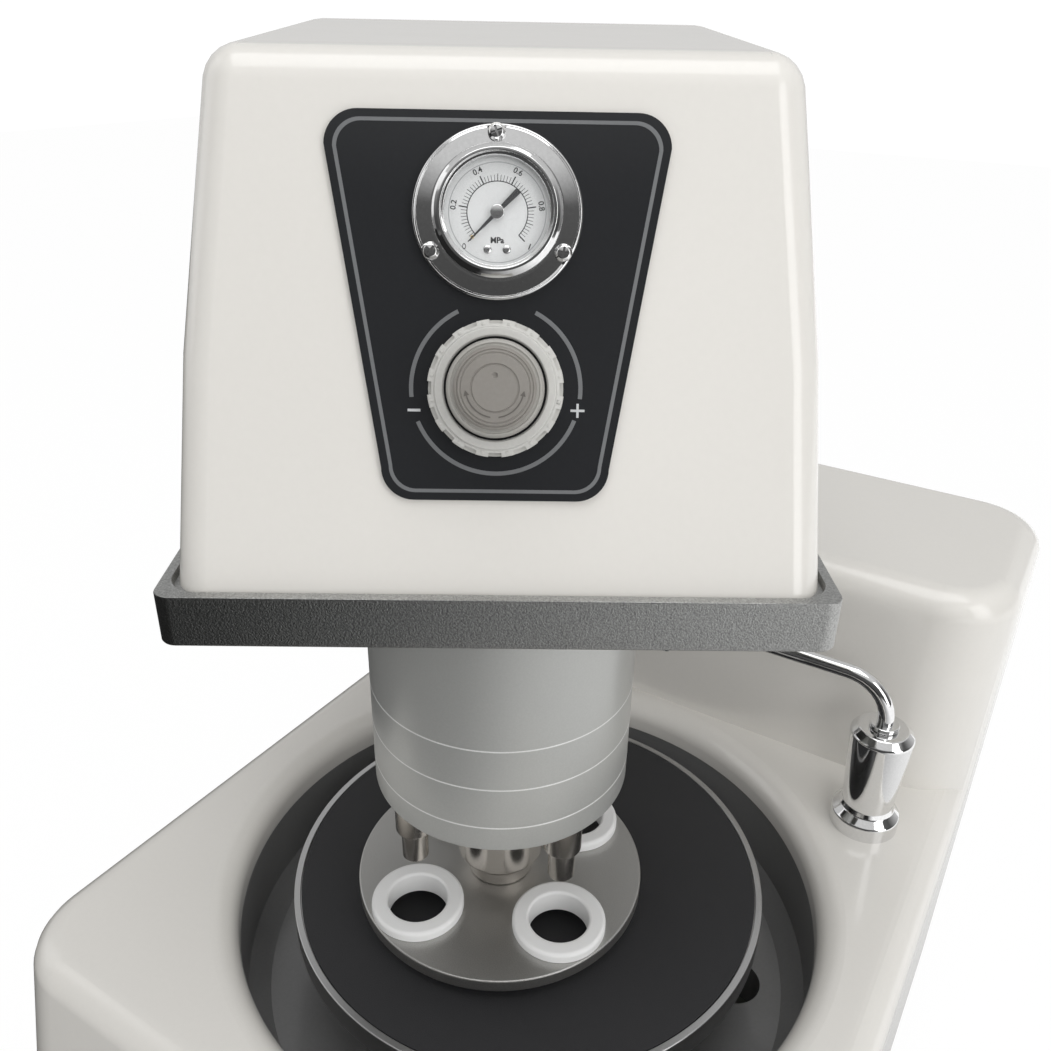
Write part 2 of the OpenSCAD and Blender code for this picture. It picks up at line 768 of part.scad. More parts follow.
module touch_screen() color("#0e1116") on_console(screen_x) difference() {
    bar(-screen_w / 2, screen_w / 2, -screen_h / 2, screen_h / 2, -screen_depth, console_t);
    bar(-screen_w / 2 + screen_rim, screen_w / 2 - screen_rim, -screen_h / 2 + screen_rim,
        screen_h / 2 - screen_rim, console_t - fit, console_t + over);
}

module emergency_switch() color("#d8b21a") on_console(stop_x) rotate_extrude() polygon([
    [stop_plunger_r + run, -stop_depth], [stop_body_r, -stop_depth], [stop_body_r, console_t],
    [stop_collar_r, console_t], [stop_collar_r - stop_edge, console_t + stop_collar_h],
    [stop_neck_r + fit, console_t + stop_collar_h], [stop_neck_r + fit, -stop_travel],
    [stop_plunger_r + run, -stop_travel]]);

module emergency_button() color("#c81e1e") on_console(stop_x) {
    under = console_t + stop_collar_h + stop_travel + stop_gap;
    rotate_extrude() polygon([
        [0, -stop_depth / 2], [stop_plunger_r, -stop_depth / 2], [stop_plunger_r, stop_gap],
        [stop_neck_r, stop_gap], [stop_neck_r, under], [stop_r, under], [stop_r, under + stop_h / 2],
        [stop_r - stop_edge, under + stop_h * 3 / 4], [stop_r - stop_crown, under + stop_h],
        [0, under + stop_h]]);
}

module column_tube() color("#c2c5c8") at_column() rotate_extrude() polygon([
    [ram_r + run, pan_z], [column_foot_r, pan_z], [column_foot_r, pan_z + column_foot_t],
    [column_r, pan_z + column_foot_t], [column_r, turret_z], [column_flange_r, turret_z],
    [column_flange_r, turret_z + column_flange_t], [column_r, turret_z + column_flange_t],
    [column_r, column_top - column_edge], [column_r - column_edge, column_top],
    [ram_r + run, column_top]]);

module lift_ram() color("#d6d9dc") at_column() rod(ram_r, ram_bottom, ram_top);

module faucet_body() color("#d9dcdf") translate([faucet_x, platen_y + faucet_back, deck_z]) {
    nut_z = -shell_wall - fit;
    difference() {
        rotate_extrude() polygon([
            [0, -faucet_shank_l], [faucet_shank_r, -faucet_shank_l],
            [faucet_shank_r, nut_z - faucet_nut_h], [faucet_nut_r, nut_z - faucet_nut_h],
            [faucet_nut_r, nut_z], [faucet_shank_r, nut_z], [faucet_shank_r, 0],
            [faucet_foot_r, 0], [faucet_foot_r, faucet_foot_h - faucet_shoulder_h],
            [faucet_foot_r - faucet_edge, faucet_foot_h - faucet_shoulder_h / 2],
            [faucet_waist_r + faucet_edge, faucet_foot_h - faucet_shoulder_h / 4],
            [faucet_waist_r, faucet_foot_h], [faucet_r, faucet_h - faucet_cap],
            [faucet_r - faucet_edge, faucet_h - faucet_cap / 2], [faucet_r - faucet_cap, faucet_h],
            [0, faucet_h]]);
        rod(spout_pin_r + run, faucet_h - spout_pin_l - over, faucet_h + over);
    }
}

// The spout turns on its pin in the body, bends over and runs level to its outlet
module faucet_spout() color("#d9dcdf")
    translate([faucet_x, platen_y + faucet_back, deck_z + faucet_h]) rotate([0, 0, spout_turn]) {
        level = spout_nut_h + spout_rise + spout_bend;
        rod(spout_pin_r, -spout_pin_l, spout_nut_h / 2);
        rod(spout_nut_r, fit, spout_nut_h);
        rod(spout_r, spout_nut_h / 2, spout_nut_h + spout_rise);
        translate([spout_bend, 0, spout_nut_h + spout_rise]) rotate([90, 0, 180])
            rotate_extrude(angle = 90) translate([spout_bend, 0]) circle(spout_r);
        translate([spout_bend, 0, level]) rotate([0, 90, 0])
            cylinder(r = spout_r, h = spout_reach - 2 * spout_bend);
        translate([spout_reach - spout_bend, 0, level - spout_bend]) rotate([90, 0, 0])
            rotate_extrude(angle = 90) translate([spout_bend, 0]) circle(spout_r);
        translate([spout_reach, 0, 0]) rod(spout_r, level - spout_bend - spout_drop, level - spout_bend);
    }

// Outline of the head seen from above, drawn in by a margin
module head_outline(inset, r) hull() {
    for (x = [-1, 1]) {
        translate([x * (plate_half_w - inset - r), -plate_front + inset + r]) circle(r, $fn = round_fn);
        translate([x * (plate_half_w - inset - r), plate_side_back - inset - r]) circle(r, $fn = round_fn);
    }
    translate([0, column_reach]) circle(tail_r - inset, $fn = 2 * round_fn);
}

module head_plate() color("#8d9194") difference() {
    at_head() translate([0, 0, plate_z]) linear_extrude(plate_t) head_outline(0, plate_corner_r);
    at_head() translate([0, 0, pocket_z]) linear_extrude(plate_t) head_outline(rim_w, plate_corner_r + rim_w);
    at_head() rod(carrier_r + fit, plate_z - over, plate_top + over);
    at_column() rod(clamp_neck_r + fit, plate_z - over, plate_top + over);
}

// A split collar under the plate, with a neck that rises through it round the ram
module head_clamp() color("#70757a") at_column() rotate([0, 0, head_turn]) difference() {
    union() {
        rod(clamp_r, plate_z - clamp_h, plate_z);
        rod(clamp_neck_r, plate_z - over, pocket_z + clamp_h);
        bar(-ear_w, ear_w, 0, ear_d, plate_z - clamp_h + over, plate_z - over);
    }
    rod(ram_r + run, plate_z - clamp_h - over, pocket_z + clamp_h + over);
    bar(-clamp_slit / 2, clamp_slit / 2, 0, ear_d + over, plate_z - clamp_h - over, plate_z - slice);
    translate([0, ear_back, plate_z - clamp_h / 2]) rotate([0, 90, 0])
        cylinder(r = lever_screw_r + run, h = 2 * ear_w + 2 * over, center = true);
}

module lock_lever() color("#26282b") at_column() rotate([0, 0, head_turn])
    translate([0, ear_back, plate_z - clamp_h / 2]) {
        rotate([0, 90, 0]) {
            rod(lever_screw_r, -ear_w, ear_w + fit);
            rod(lever_hub_r, ear_w + fit, ear_w + fit + lever_hub_w);
        }
        translate([ear_w + fit + lever_hub_w / 2, 0, 0]) {
            rotate([-90, 0, 0]) rod(lever_arm_r, 0, lever_arm);
            translate([0, lever_arm, 0]) sphere(lever_ball_r);
        }
    }

// Spheres and discs at the corners of the hood, drawn in by a margin
module hood_main(inset) {
    r = hood_r - inset;
    top_y = face_h * sin(face_lean) - face_tangent * sin(face_lean) + hood_r * cos(face_lean) - hood_front;
    top_z = hood_z + face_h * cos(face_lean) - face_tangent * cos(face_lean) - hood_r * sin(face_lean);
    back_y = hood_top_back - hood_r;
    back_z = top_z + (back_y - top_y) * tan(top_slope);
    hull() for (x = [-1, 1]) {
        translate([x * (hood_half_w - hood_r), hood_r - hood_front, pocket_z])
            cylinder(r = r, h = slice, $fn = round_fn);
        translate([x * (hood_half_w - hood_r), plate_side_back - rim_w - hood_r, pocket_z])
            cylinder(r = r, h = slice, $fn = round_fn);
        translate([x * (hood_mid_half_w - hood_r), hood_mid_s * sin(face_lean)
            + hood_r * cos(face_lean) - hood_front, hood_z + hood_mid_s * cos(face_lean)
            - hood_r * sin(face_lean)]) sphere(r, $fn = round_fn);
        translate([x * (hood_mid_half_w - hood_r), plate_side_back - rim_w - hood_r - over,
            hood_z + hood_mid_s * cos(face_lean) - hood_r * sin(face_lean)])
            sphere(r, $fn = round_fn);
        translate([x * (hood_top_half_w - hood_r), top_y, top_z]) sphere(r, $fn = round_fn);
        translate([x * (hood_back_half_w - hood_r), back_y, back_z]) sphere(r, $fn = round_fn);
    }
}
module hood_tail(inset) {
    r = hood_r - inset;
    end_r = tail_r - rim_w - hood_gap - inset;
    hull() {
        for (x = [-1, 1]) {
            translate([x * (hood_half_w - 2 * hood_r), plate_side_back - 2 * hood_r, pocket_z])
                cylinder(r = r, h = slice, $fn = round_fn);
            translate([x * (hood_tail_half_w - hood_r), plate_side_back - 3 * hood_r,
                pocket_z + hood_tail_h - hood_r]) sphere(r, $fn = round_fn);
        }
        translate([0, column_reach, pocket_z]) cylinder(r = end_r, h = slice, $fn = 2 * round_fn);
        translate([0, column_reach, pocket_z + hood_tail_h - 2 * hood_r]) soft_disc(end_r, r);
    }
}
module head_shell() color("#efedea") difference() {
    at_head() union() {
        hood_main(0);
        hood_tail(0);
    }
    at_head() difference() {
        union() {
            hood_main(hood_wall);
            hood_tail(hood_wall);
            translate([0, 0, -slice]) hood_main(hood_wall);
            translate([0, 0, -slice]) hood_tail(hood_wall);
        }
    }
    on_face(gauge_s) rod(gauge_case_r + fit, -3 * hood_wall, over);
    on_face(knob_s) rod(barrel_r + fit, -3 * hood_wall, over);
}

module fascia() color("#33363b") difference() {
    on_face(0) linear_extrude(fascia_t) hull() for (x = [-1, 1]) {
        translate([x * (fascia_top_w - fascia_r), fascia_top_s - fascia_r]) circle(fascia_r, $fn = round_fn);
        translate([x * (fascia_bottom_w - fascia_r), fascia_bottom_s + fascia_r])
            circle(fascia_r, $fn = round_fn);
    }
    on_face(gauge_s) rod(gauge_case_r + fit, -over, fascia_t + over);
    on_face(knob_s) rod(barrel_r + fit, -over, fascia_t + over);
}

module gauge_case() color("#c9ccd0") on_face(gauge_s) {
    lip = fascia_t + flange_t;
    rotate_extrude() polygon([
        [0, -gauge_depth], [gauge_case_r, -gauge_depth], [gauge_case_r, lip], [gauge_bezel_r, lip],
        [gauge_bezel_r, lip + gauge_bezel_h - bezel_edge], [gauge_bezel_r - gauge_wall, lip + gauge_bezel_h],
        [gauge_window_r + gauge_wall, lip + gauge_bezel_h], [gauge_window_r, lip + gauge_bezel_h - lens_drop],
        [gauge_window_r, lip + gauge_bezel_h - lens_drop - gauge_wall / 2],
        [gauge_case_r - gauge_wall, lip + gauge_bezel_h - lens_drop - gauge_wall / 2],
        [gauge_case_r - gauge_wall, -gauge_depth + gauge_wall], [0, -gauge_depth + gauge_wall]]);
    rod(gauge_stem_r, -gauge_depth - gauge_stem_l, -gauge_depth + over / 2);
}

module gauge_flange() color("#d4d7da") on_face(gauge_s) difference() {
    translate([0, 0, fascia_t]) rotate_extrude() polygon([
        [gauge_case_r + run, 0], [gauge_flange_r, 0], [gauge_flange_r, flange_t - flange_edge],
        [gauge_flange_r - flange_edge, flange_t], [gauge_case_r + run, flange_t]]);
    for (i = [0:2]) rotate([0, 0, 90 + i * 120]) translate([screw_pcd_r, 0, 0])
        rod(screw_r + run, 0, fascia_t + flange_t + over);
}

module gauge_dial() color("#f4f4f2") on_face(gauge_s)
    tube(gauge_case_r - gauge_wall - run, needle_pin_r + run, dial_seat, dial_seat + dial_t);

module gauge_needle() color("#111111") on_face(gauge_s) rotate([0, 0, needle_rest]) {
    low = dial_seat + dial_t + needle_lift;
    rod(needle_pin_r, -gauge_depth / 3, low + needle_hub_h / 2);
    rod(needle_hub_r, low, low + needle_hub_h);
    translate([0, 0, low + needle_hub_h / 2 - needle_t / 2]) linear_extrude(needle_t)
        polygon([[-needle_tail, -needle_tail_w / 2], [needle_hub_r / 2 - needle_hub_r, -needle_tail_w / 2],
            [0, -needle_w / 2], [needle_l, -needle_w / 8], [needle_l, needle_w / 8], [0, needle_w / 2],
            [needle_hub_r / 2 - needle_hub_r, needle_tail_w / 2], [-needle_tail, needle_tail_w / 2]]);
}

module gauge_lens() color([0.85, 0.9, 0.95, 0.35]) on_face(gauge_s) {
    top = fascia_t + flange_t + gauge_bezel_h - lens_drop - gauge_wall / 2;
    rod(gauge_case_r - gauge_wall - run, top - lens_t, top);
}

module gauge_screws() color("#b9bcc0") on_face(gauge_s)
    for (i = [0:2]) rotate([0, 0, 90 + i * 120]) translate([screw_pcd_r, 0, fascia_t + flange_t])
        difference() {
            union() {
                rotate_extrude() polygon([[0, 0], [screw_head_r, 0], [screw_head_r, screw_head_h / 3],
                    [screw_head_r - screw_crown, screw_head_h - screw_edge], [0, screw_head_h]]);
                rod(screw_r, -flange_t, over / 2);
            }
            for (a = [0, 90]) rotate([0, 0, a]) translate([0, 0, screw_head_h])
                cube([screw_head_r, screw_r / 3, screw_head_h], center = true);
        }

module regulator_body() color("#5b5f63") on_face(knob_s) {
    difference() {
        union() {
            rod(barrel_r - run, -hood_wall - barrel_lap, fascia_t + nut_h * nut_cover_share);
            rod(barrel_r + barrel_step, -regulator_depth, -hood_wall - barrel_step);
        }
        rod(stem_bore, -regulator_depth + hood_wall, fascia_t + nut_h);
    }
}

// The ring nut has castellations round its lower half and a plain collar above
module regulator_nut() color("#c7c6c1") on_face(knob_s) difference() {
    translate([0, 0, fascia_t]) rotate_extrude() polygon([
        [barrel_r, 0], [nut_r, 0], [nut_r, nut_h - nut_edge], [nut_r - nut_edge, nut_h],
        [barrel_r + nut_lip, nut_h], [barrel_r, nut_h - nut_lip]]);
    for (i = [0:nut_notches - 1]) rotate([0, 0, i * 360 / nut_notches])
        bar(nut_r - notch_d, nut_r + over, -notch_w / 2, notch_w / 2, fascia_t - over,
            fascia_t + notch_h);
}

module regulator_stem() color("#b0b3b6") on_face(knob_s)
    rod(stem_r, -regulator_depth / 2, fascia_t + nut_h + knob_h / 2);

module regulator_knob() color("#8b867c") on_face(knob_s) difference() {
    translate([0, 0, fascia_t + nut_h + fit]) rotate_extrude() polygon([
        [0, 0], [knob_r, 0], [knob_r - knob_taper, knob_h - knob_step * 2],
        [knob_r - knob_taper * 2, knob_h - knob_step], [knob_top_r + knob_taper, knob_h - knob_step],
        [knob_top_r, knob_h - knob_taper], [knob_top_r - knob_taper, knob_h], [0, knob_h]]);
    rod(stem_bore, 0, fascia_t + nut_h + knob_h / 2 + run);
}

// A gearmotor that hangs from a bridge over its small pulley
module head_motor() color("#44484c") {
    leg_z = pocket_z + carrier_flange_t + head_pulley_h + 2 * bridge_gap;
    at_head() translate([0, head_motor_back, 0]) difference() {
        union() {
            translate([0, 0, leg_z]) rounded_plate(head_motor_r + motor_leg, head_motor_r, motor_leg / 2,
                bridge_t);
            for (x = [-1, 1]) bar(x * (head_motor_r + motor_leg / 2) - motor_leg / 2,
                x * (head_motor_r + motor_leg / 2) + motor_leg / 2, -head_motor_r / 2,
                head_motor_r / 2, pocket_z, leg_z);
            rod(head_motor_r, leg_z + bridge_t, leg_z + bridge_t + head_motor_h);
        }
        rod(head_shaft_r + run, leg_z - over, leg_z + head_motor_h / 2);
    }
}

module head_motor_pulley() color("#9a9da0") at_head() translate([0, head_motor_back, 0]) {
    low = pocket_z + carrier_flange_t + bridge_gap;
    pulley(head_motor_pulley_r, 0, low, head_pulley_h);
    rod(head_shaft_r, low + head_pulley_h / 2, low + head_pulley_h + head_motor_h / 3);
}

module head_belt() color("#202224") at_head() {
    low = pocket_z + carrier_flange_t + bridge_gap;
    flat_belt(head_pulley_r + belt_slack, head_motor_pulley_r + belt_slack, head_motor_back,
        head_belt_t, low + rim_h + fit, low + head_pulley_h - rim_h - fit);
}

module spindle_carrier() color("#a4a7aa") at_head() rotate_extrude() polygon([
    [shoulder_r, plate_z], [carrier_r, plate_z], [carrier_r, pocket_z], [carrier_flange_r, pocket_z],
    [carrier_flange_r, pocket_z + carrier_flange_t], [head_bearing_r, pocket_z + carrier_flange_t],
    [head_bearing_r, plate_z + carrier_lip], [shoulder_r, plate_z + carrier_lip]]);

module head_bearings() color("#c8cacc") at_head() for (i = [0, 1])
    bearing(head_bearing_r, shaft_r + run, plate_z + carrier_lip + i * head_bearing_h, head_bearing_h);

module drum_spindle() color("#b8babc") at_head() {
    low = pocket_z + carrier_flange_t + bridge_gap;
    rod(shaft_r, drum_top - drum_roof - spindle_flange_t / 2, low + head_pulley_h + shaft_end);
    rod(spindle_flange_r, drum_top - drum_roof - spindle_flange_t, drum_top - drum_roof);
    pulley(head_pulley_r, shaft_r - over, low, head_pulley_h);
}

// A ring of the drum with a fine chamfer at both edges
module drum_ring(z0, z1, inner) translate([0, 0, z0]) rotate_extrude() {
    h = z1 - z0;
    polygon([[inner, 0], [drum_r - seam_chamfer, 0], [drum_r, seam_chamfer],
        [drum_r, h - seam_chamfer], [drum_r - seam_chamfer, h], [inner, h]]);
}
module drum_upper() color("#dcdcd9") at_head() difference() {
    drum_ring(seam_1, drum_top, 0);
    rod(drum_r - drum_wall, seam_1 - over, drum_top - drum_roof);
    rod(shaft_r + run, seam_1, drum_top + over);
}
module cylinder_block() color("#dcdcd9") difference() {
    at_head() drum_ring(seam_2, seam_1, 0);
    at_stations() rod(piston_r + run, seam_2 - over, seam_1 + over);
}
module drum_lower() color("#dcdcd9") difference() {
    at_head() drum_ring(seam_3, seam_2, 0);
    at_stations() rod(piston_r + run, seam_3 - over, seam_2 + over);
}
module drum_end() color("#dcdcd9") difference() {
    at_head() drum_ring(drum_bottom, seam_3, 0);
    at_stations() rod(piston_r + run, drum_bottom - over, seam_3 + over);
}

module pin_guides() color("#cfd2d5") at_stations()
    tube(piston_r, pin_r + run, drum_bottom - guide_drop, seam_3);

// A pressure pin has a piston in the cylinder block and a rod through its guide
module pressure_pin(i) color("#d5d8db") at_station(i) {
    piston_z = seam_1 - piston_rest;
    rod(piston_r, piston_z - piston_h, piston_z);
    rod(pin_r, pin_bottom, piston_z - piston_h / 2);
}
module pin_1() pressure_pin(0);
module pin_2() pressure_pin(1);
module pin_3() pressure_pin(2);
module pin_4() pressure_pin(3);

// The chuck is narrow at the disc and widens into a collar that turns up to the drum
module chuck_hub() color("#d2d5d8") {
    flare_z = holder_top + hub_foot_h;
    at_head() rotate_extrude() polygon([
        [0, holder_top], [hub_r, holder_top], [hub_r, flare_z],
        [hub_collar_r, flare_z + hub_flare_h], [hub_collar_r, drum_bottom], [0, drum_bottom]]);
}

module holder_disc() color("#b5b7b8") difference() {
    at_head() translate([0, 0, holder_bottom]) rotate_extrude() polygon([
        [hub_core_r, 0], [holder_r - holder_chamfer, 0], [holder_r, holder_chamfer],
        [holder_r, holder_t - holder_chamfer], [holder_r - holder_chamfer, holder_t],
        [hub_core_r, holder_t]]);
    at_stations() rod(bush_r + fit / 3, holder_bottom - over, holder_top + over);
}

module specimen_bushes() color("#f2f3f3") at_stations() rotate_extrude() polygon([
    [specimen_r, holder_bottom], [bush_r, holder_bottom], [bush_r, holder_top],
    [bush_flange_r, holder_top], [bush_flange_r, holder_top + bush_flange_h - bush_edge],
    [bush_flange_r - bush_edge, holder_top + bush_flange_h],
    [specimen_r + bush_edge, holder_top + bush_flange_h],
    [specimen_r, holder_top + bush_flange_h - bush_edge]]);

rubber_feet();
base_pan();
base_shell();
bowl();
drain_pipe();
drive_frame();
spindle_housing();
spindle_bearings();
platen_spindle();
driven_pulley();
platen();
polishing_disc();
platen_motor();
motor_pulley();
platen_belt();
rear_panel();
power_inlet();
power_rocker();
rear_fittings();
control_panel();
touch_screen();
emergency_switch();
emergency_button();
column_tube();
lift_ram();
faucet_body();
faucet_spout();
head_plate();
head_clamp();
lock_lever();
head_shell();
fascia();
gauge_case();
gauge_flange();
gauge_dial();
gauge_needle();
gauge_lens();
gauge_screws();
regulator_body();
regulator_nut();
regulator_stem();
regulator_knob();
head_motor();
head_motor_pulley();
head_belt();
spindle_carrier();
head_bearings();
drum_spindle();
drum_upper();
cylinder_block();
drum_lower();
drum_end();
pin_guides();
pin_1();
pin_2();
pin_3();
pin_4();
chuck_hub();
holder_disc();
specimen_bushes();
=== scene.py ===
# Looks of a bench-top metallographic grinder-polisher with an automatic sample head.
# The script works in the row frame, in metres: X to the right, Y to the back, Z up, floor at zero.
# Profiles and outlines are in millimetres, and the sections follow the order of assembly.
import json
import math

import bmesh
import bpy
from mathutils import Matrix, Vector


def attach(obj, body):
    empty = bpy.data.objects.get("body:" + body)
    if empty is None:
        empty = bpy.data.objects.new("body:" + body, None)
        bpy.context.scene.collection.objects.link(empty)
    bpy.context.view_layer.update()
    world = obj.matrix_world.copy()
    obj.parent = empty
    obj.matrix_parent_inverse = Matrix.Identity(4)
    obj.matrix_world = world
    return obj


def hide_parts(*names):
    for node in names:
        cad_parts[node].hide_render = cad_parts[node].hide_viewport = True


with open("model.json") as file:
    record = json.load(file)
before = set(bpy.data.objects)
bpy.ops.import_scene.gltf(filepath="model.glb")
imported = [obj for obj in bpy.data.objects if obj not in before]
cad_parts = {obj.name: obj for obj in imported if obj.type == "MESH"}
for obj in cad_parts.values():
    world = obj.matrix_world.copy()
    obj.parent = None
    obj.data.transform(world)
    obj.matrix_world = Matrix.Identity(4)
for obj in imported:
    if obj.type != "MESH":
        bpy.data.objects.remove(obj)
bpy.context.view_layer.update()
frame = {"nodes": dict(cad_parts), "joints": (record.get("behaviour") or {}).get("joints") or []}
cad = frame["nodes"]
joints = {j["name"]: j for j in frame["joints"]}
mm = 0.001

# Pan, drive and feet. A steel pan on rubber feet carries the drive frame, with black motors, cast
# pulleys and rubber belts. All are bought or machined parts, bolted in, and keep their CAD shapes.
grain = bpy.data.node_groups.new("surface_grain", "ShaderNodeTree")
grain.interface.new_socket("Vector", in_out="INPUT", socket_type="NodeSocketVector")
for socket in ("Fine", "Slow", "Roughness", "Spread"):
    grain.interface.new_socket(socket, in_out="INPUT", socket_type="NodeSocketFloat")
grain.interface.new_socket("Height", in_out="OUTPUT", socket_type="NodeSocketFloat")
grain.interface.new_socket("Roughness", in_out="OUTPUT", socket_type="NodeSocketFloat")
group_in = grain.nodes.new("NodeGroupInput")
group_out = grain.nodes.new("NodeGroupOutput")
fine_noise = grain.nodes.new("ShaderNodeTexNoise")
fine_noise.inputs["Detail"].default_value = 3
slow_noise = grain.nodes.new("ShaderNodeTexNoise")
slow_noise.inputs["Detail"].default_value = 5
slow_noise.inputs["Roughness"].default_value = 0.6
centred = grain.nodes.new("ShaderNodeMath")
centred.operation = "SUBTRACT"
centred.inputs[1].default_value = 0.5
smudged = grain.nodes.new("ShaderNodeMath")
smudged.operation = "MULTIPLY_ADD"
smudged.use_clamp = True
for source, target in ((group_in.outputs["Vector"], fine_noise.inputs["Vector"]),
                       (group_in.outputs["Fine"], fine_noise.inputs["Scale"]),
                       (group_in.outputs["Vector"], slow_noise.inputs["Vector"]),
                       (group_in.outputs["Slow"], slow_noise.inputs["Scale"]),
                       (slow_noise.outputs["Fac"], centred.inputs[0]),
                       (centred.outputs[0], smudged.inputs[0]),
                       (group_in.outputs["Spread"], smudged.inputs[1]),
                       (group_in.outputs["Roughness"], smudged.inputs[2]),
                       (fine_noise.outputs["Fac"], group_out.inputs["Height"]),
                       (smudged.outputs[0], group_out.inputs["Roughness"])):
    grain.links.new(source, target)


def finish_of(name, colour, metal=0, rough=0.4, smudge=0.08, fine=900, slow=20, bump=0.1,
              depth=0.0001, coat=0, speckle=0.03, nodes=()):
    """A material with fine grain and slow smudges, which is also put on the CAD nodes named here."""
    material = bpy.data.materials.new(name)
    material.use_nodes = True
    tree = material.node_tree
    surface = tree.nodes["Principled BSDF"]
    surface.inputs["Base Color"].default_value = (*colour, 1)
    surface.inputs["Metallic"].default_value = metal
    surface.inputs["Coat Weight"].default_value = coat
    surface.inputs["Coat Roughness"].default_value = 0.04
    where = tree.nodes.new("ShaderNodeTexCoord")
    worn = tree.nodes.new("ShaderNodeGroup")
    worn.node_tree = grain
    worn.inputs["Fine"].default_value = fine
    worn.inputs["Slow"].default_value = slow
    worn.inputs["Roughness"].default_value = rough
    worn.inputs["Spread"].default_value = smudge
    relief = tree.nodes.new("ShaderNodeBump")
    relief.inputs["Strength"].default_value = bump
    relief.inputs["Distance"].default_value = depth
    shade = tree.nodes.new("ShaderNodeMapRange")
    shade.inputs["From Min"].default_value = 0.3
    shade.inputs["From Max"].default_value = 0.7
    shade.inputs["To Min"].default_value = 1 - speckle
    shade.inputs["To Max"].default_value = 1 + speckle
    tint = tree.nodes.new("ShaderNodeVectorMath")
    tint.operation = "SCALE"
    tint.inputs[0].default_value = colour
    for source, target in ((where.outputs["Object"], worn.inputs["Vector"]),
                           (worn.outputs["Height"], shade.inputs["Value"]),
                           (shade.outputs["Result"], tint.inputs["Scale"]),
                           (tint.outputs["Vector"], surface.inputs["Base Color"]),
                           (worn.outputs["Roughness"], surface.inputs["Roughness"]),
                           (worn.outputs["Height"], relief.inputs["Height"]),
                           (relief.outputs["Normal"], surface.inputs["Normal"])):
        tree.links.new(source, target)
    for node in nodes:
        cad[node].data.materials.clear()
        cad[node].data.materials.append(material)
    return material


ground_steel = finish_of("ground_steel", (0.58, 0.58, 0.58), metal=1, rough=0.26, fine=1500,
                         nodes=("base_pan", "drive_frame", "spindle_bearings", "platen_spindle",
                                "head_bearings", "drum_spindle", "regulator_stem"))
finish_of("cast_metal", (0.46, 0.46, 0.455), metal=1, rough=0.42, smudge=0.1, fine=1800, slow=18, bump=0.35,
          nodes=("spindle_housing", "spindle_carrier", "head_clamp", "driven_pulley", "motor_pulley",
                 "head_motor_pulley"))
black_plastic = finish_of("black_plastic", (0.018, 0.018, 0.02), rough=0.4, smudge=0.1, slow=18, bump=0.15,
                          nodes=("power_inlet", "regulator_body"))
finish_of("feet_rubber", (0.02, 0.02, 0.02), rough=0.75, smudge=0.12, fine=1200, bump=0.3,
          nodes=("rubber_feet", "platen_belt", "head_belt"))
finish_of("motor_black", (0.03, 0.032, 0.036), metal=0.2, rough=0.4, smudge=0.1, fine=1200, slow=16, bump=0.2,
          nodes=("platen_motor", "head_motor"))


# Column and ram. The ground steel column stands on its round foot, passes through the turret and
# wears a cap there, and the polished ram slides in its bore and carries the head.
weld = 0.001 * mm


def alone(obj):
    """Leaves this object selected by itself and active, as the operators need it."""
    bpy.ops.object.select_all(action="DESELECT")
    obj.select_set(True)
    bpy.context.view_layer.objects.active = obj


def placed(name, data):
    """An object of this name and data, put in the scene at the origin."""
    obj = bpy.data.objects.new(name, data)
    bpy.context.scene.collection.objects.link(obj)
    return obj


def applied(obj, kind, **settings):
    """Adds a modifier with these settings to the object and applies it."""
    alone(obj)
    modifier = obj.modifiers.new(kind.lower(), kind)
    for key, value in settings.items():
        setattr(modifier, key, value)
    bpy.ops.object.modifier_apply(modifier=modifier.name)
    return obj


def outwards(obj, merge=0):
    """Turns all faces of a mesh outwards, after its doubles within the merge distance are joined."""
    alone(obj)
    bpy.ops.object.mode_set(mode="EDIT")
    bpy.ops.mesh.select_all(action="SELECT")
    if merge:
        bpy.ops.mesh.remove_doubles(threshold=merge)
    bpy.ops.mesh.normals_make_consistent(inside=False)
    bpy.ops.object.mode_set(mode="OBJECT")


def turned(name, points, place, steps=128):
    """A lathe-turned solid: (radius, height, fillet) points in mm, spun round the Z axis of a place."""
    outline = []
    for i, (r, z, fillet) in enumerate(points):
        here = Vector((r, z))
        back = (Vector(points[i - 1][:2]) - here).normalized()
        ahead = (Vector(points[(i + 1) % len(points)][:2]) - here).normalized()
        if not fillet:
            outline.append(here)
            continue
        half = back.angle(ahead) / 2
        centre = here + (back + ahead).normalized() * fillet / math.sin(half)
        start = (here + back * fillet / math.tan(half) - centre).normalized()
        end = (here + ahead * fillet / math.tan(half) - centre).normalized()
        outline += [centre + start.slerp(end, k / 5) * fillet for k in range(6)]
    edges = [(k, k + 1) for k in range(len(outline) - 1)]
    if points[0][0] > 0:
        edges.append((len(outline) - 1, 0))
    mesh = bpy.data.meshes.new(name)
    mesh.from_pydata([(p.x * mm, 0, p.y * mm) for p in outline], edges, [])
    obj = applied(placed(name, mesh), "SCREW", steps=steps, render_steps=steps, use_merge_vertices=True,
                  merge_threshold=weld)
    outwards(obj, weld)
    obj.data.transform(place)
    return obj


def seat(obj, body, slot, material, *nodes):
    """Gives a finished piece its smooth shading, material and body, and hides the CAD nodes it stands for.
    The slot is not used.
    """
    alone(obj)
    bpy.ops.object.shade_smooth_by_angle(angle=math.radians(32))
    applied(obj, "WEIGHTED_NORMAL", keep_sharp=True, weight=100)
    obj.data.materials.clear()
    obj.data.materials.append(material)
    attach(obj, body)
    if nodes:
        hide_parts(*nodes)


def ground_spot(joint):
    """The point of the floor that lies under a joint."""
    return Vector((*joints[joint]["pos_m"][:2], 0))


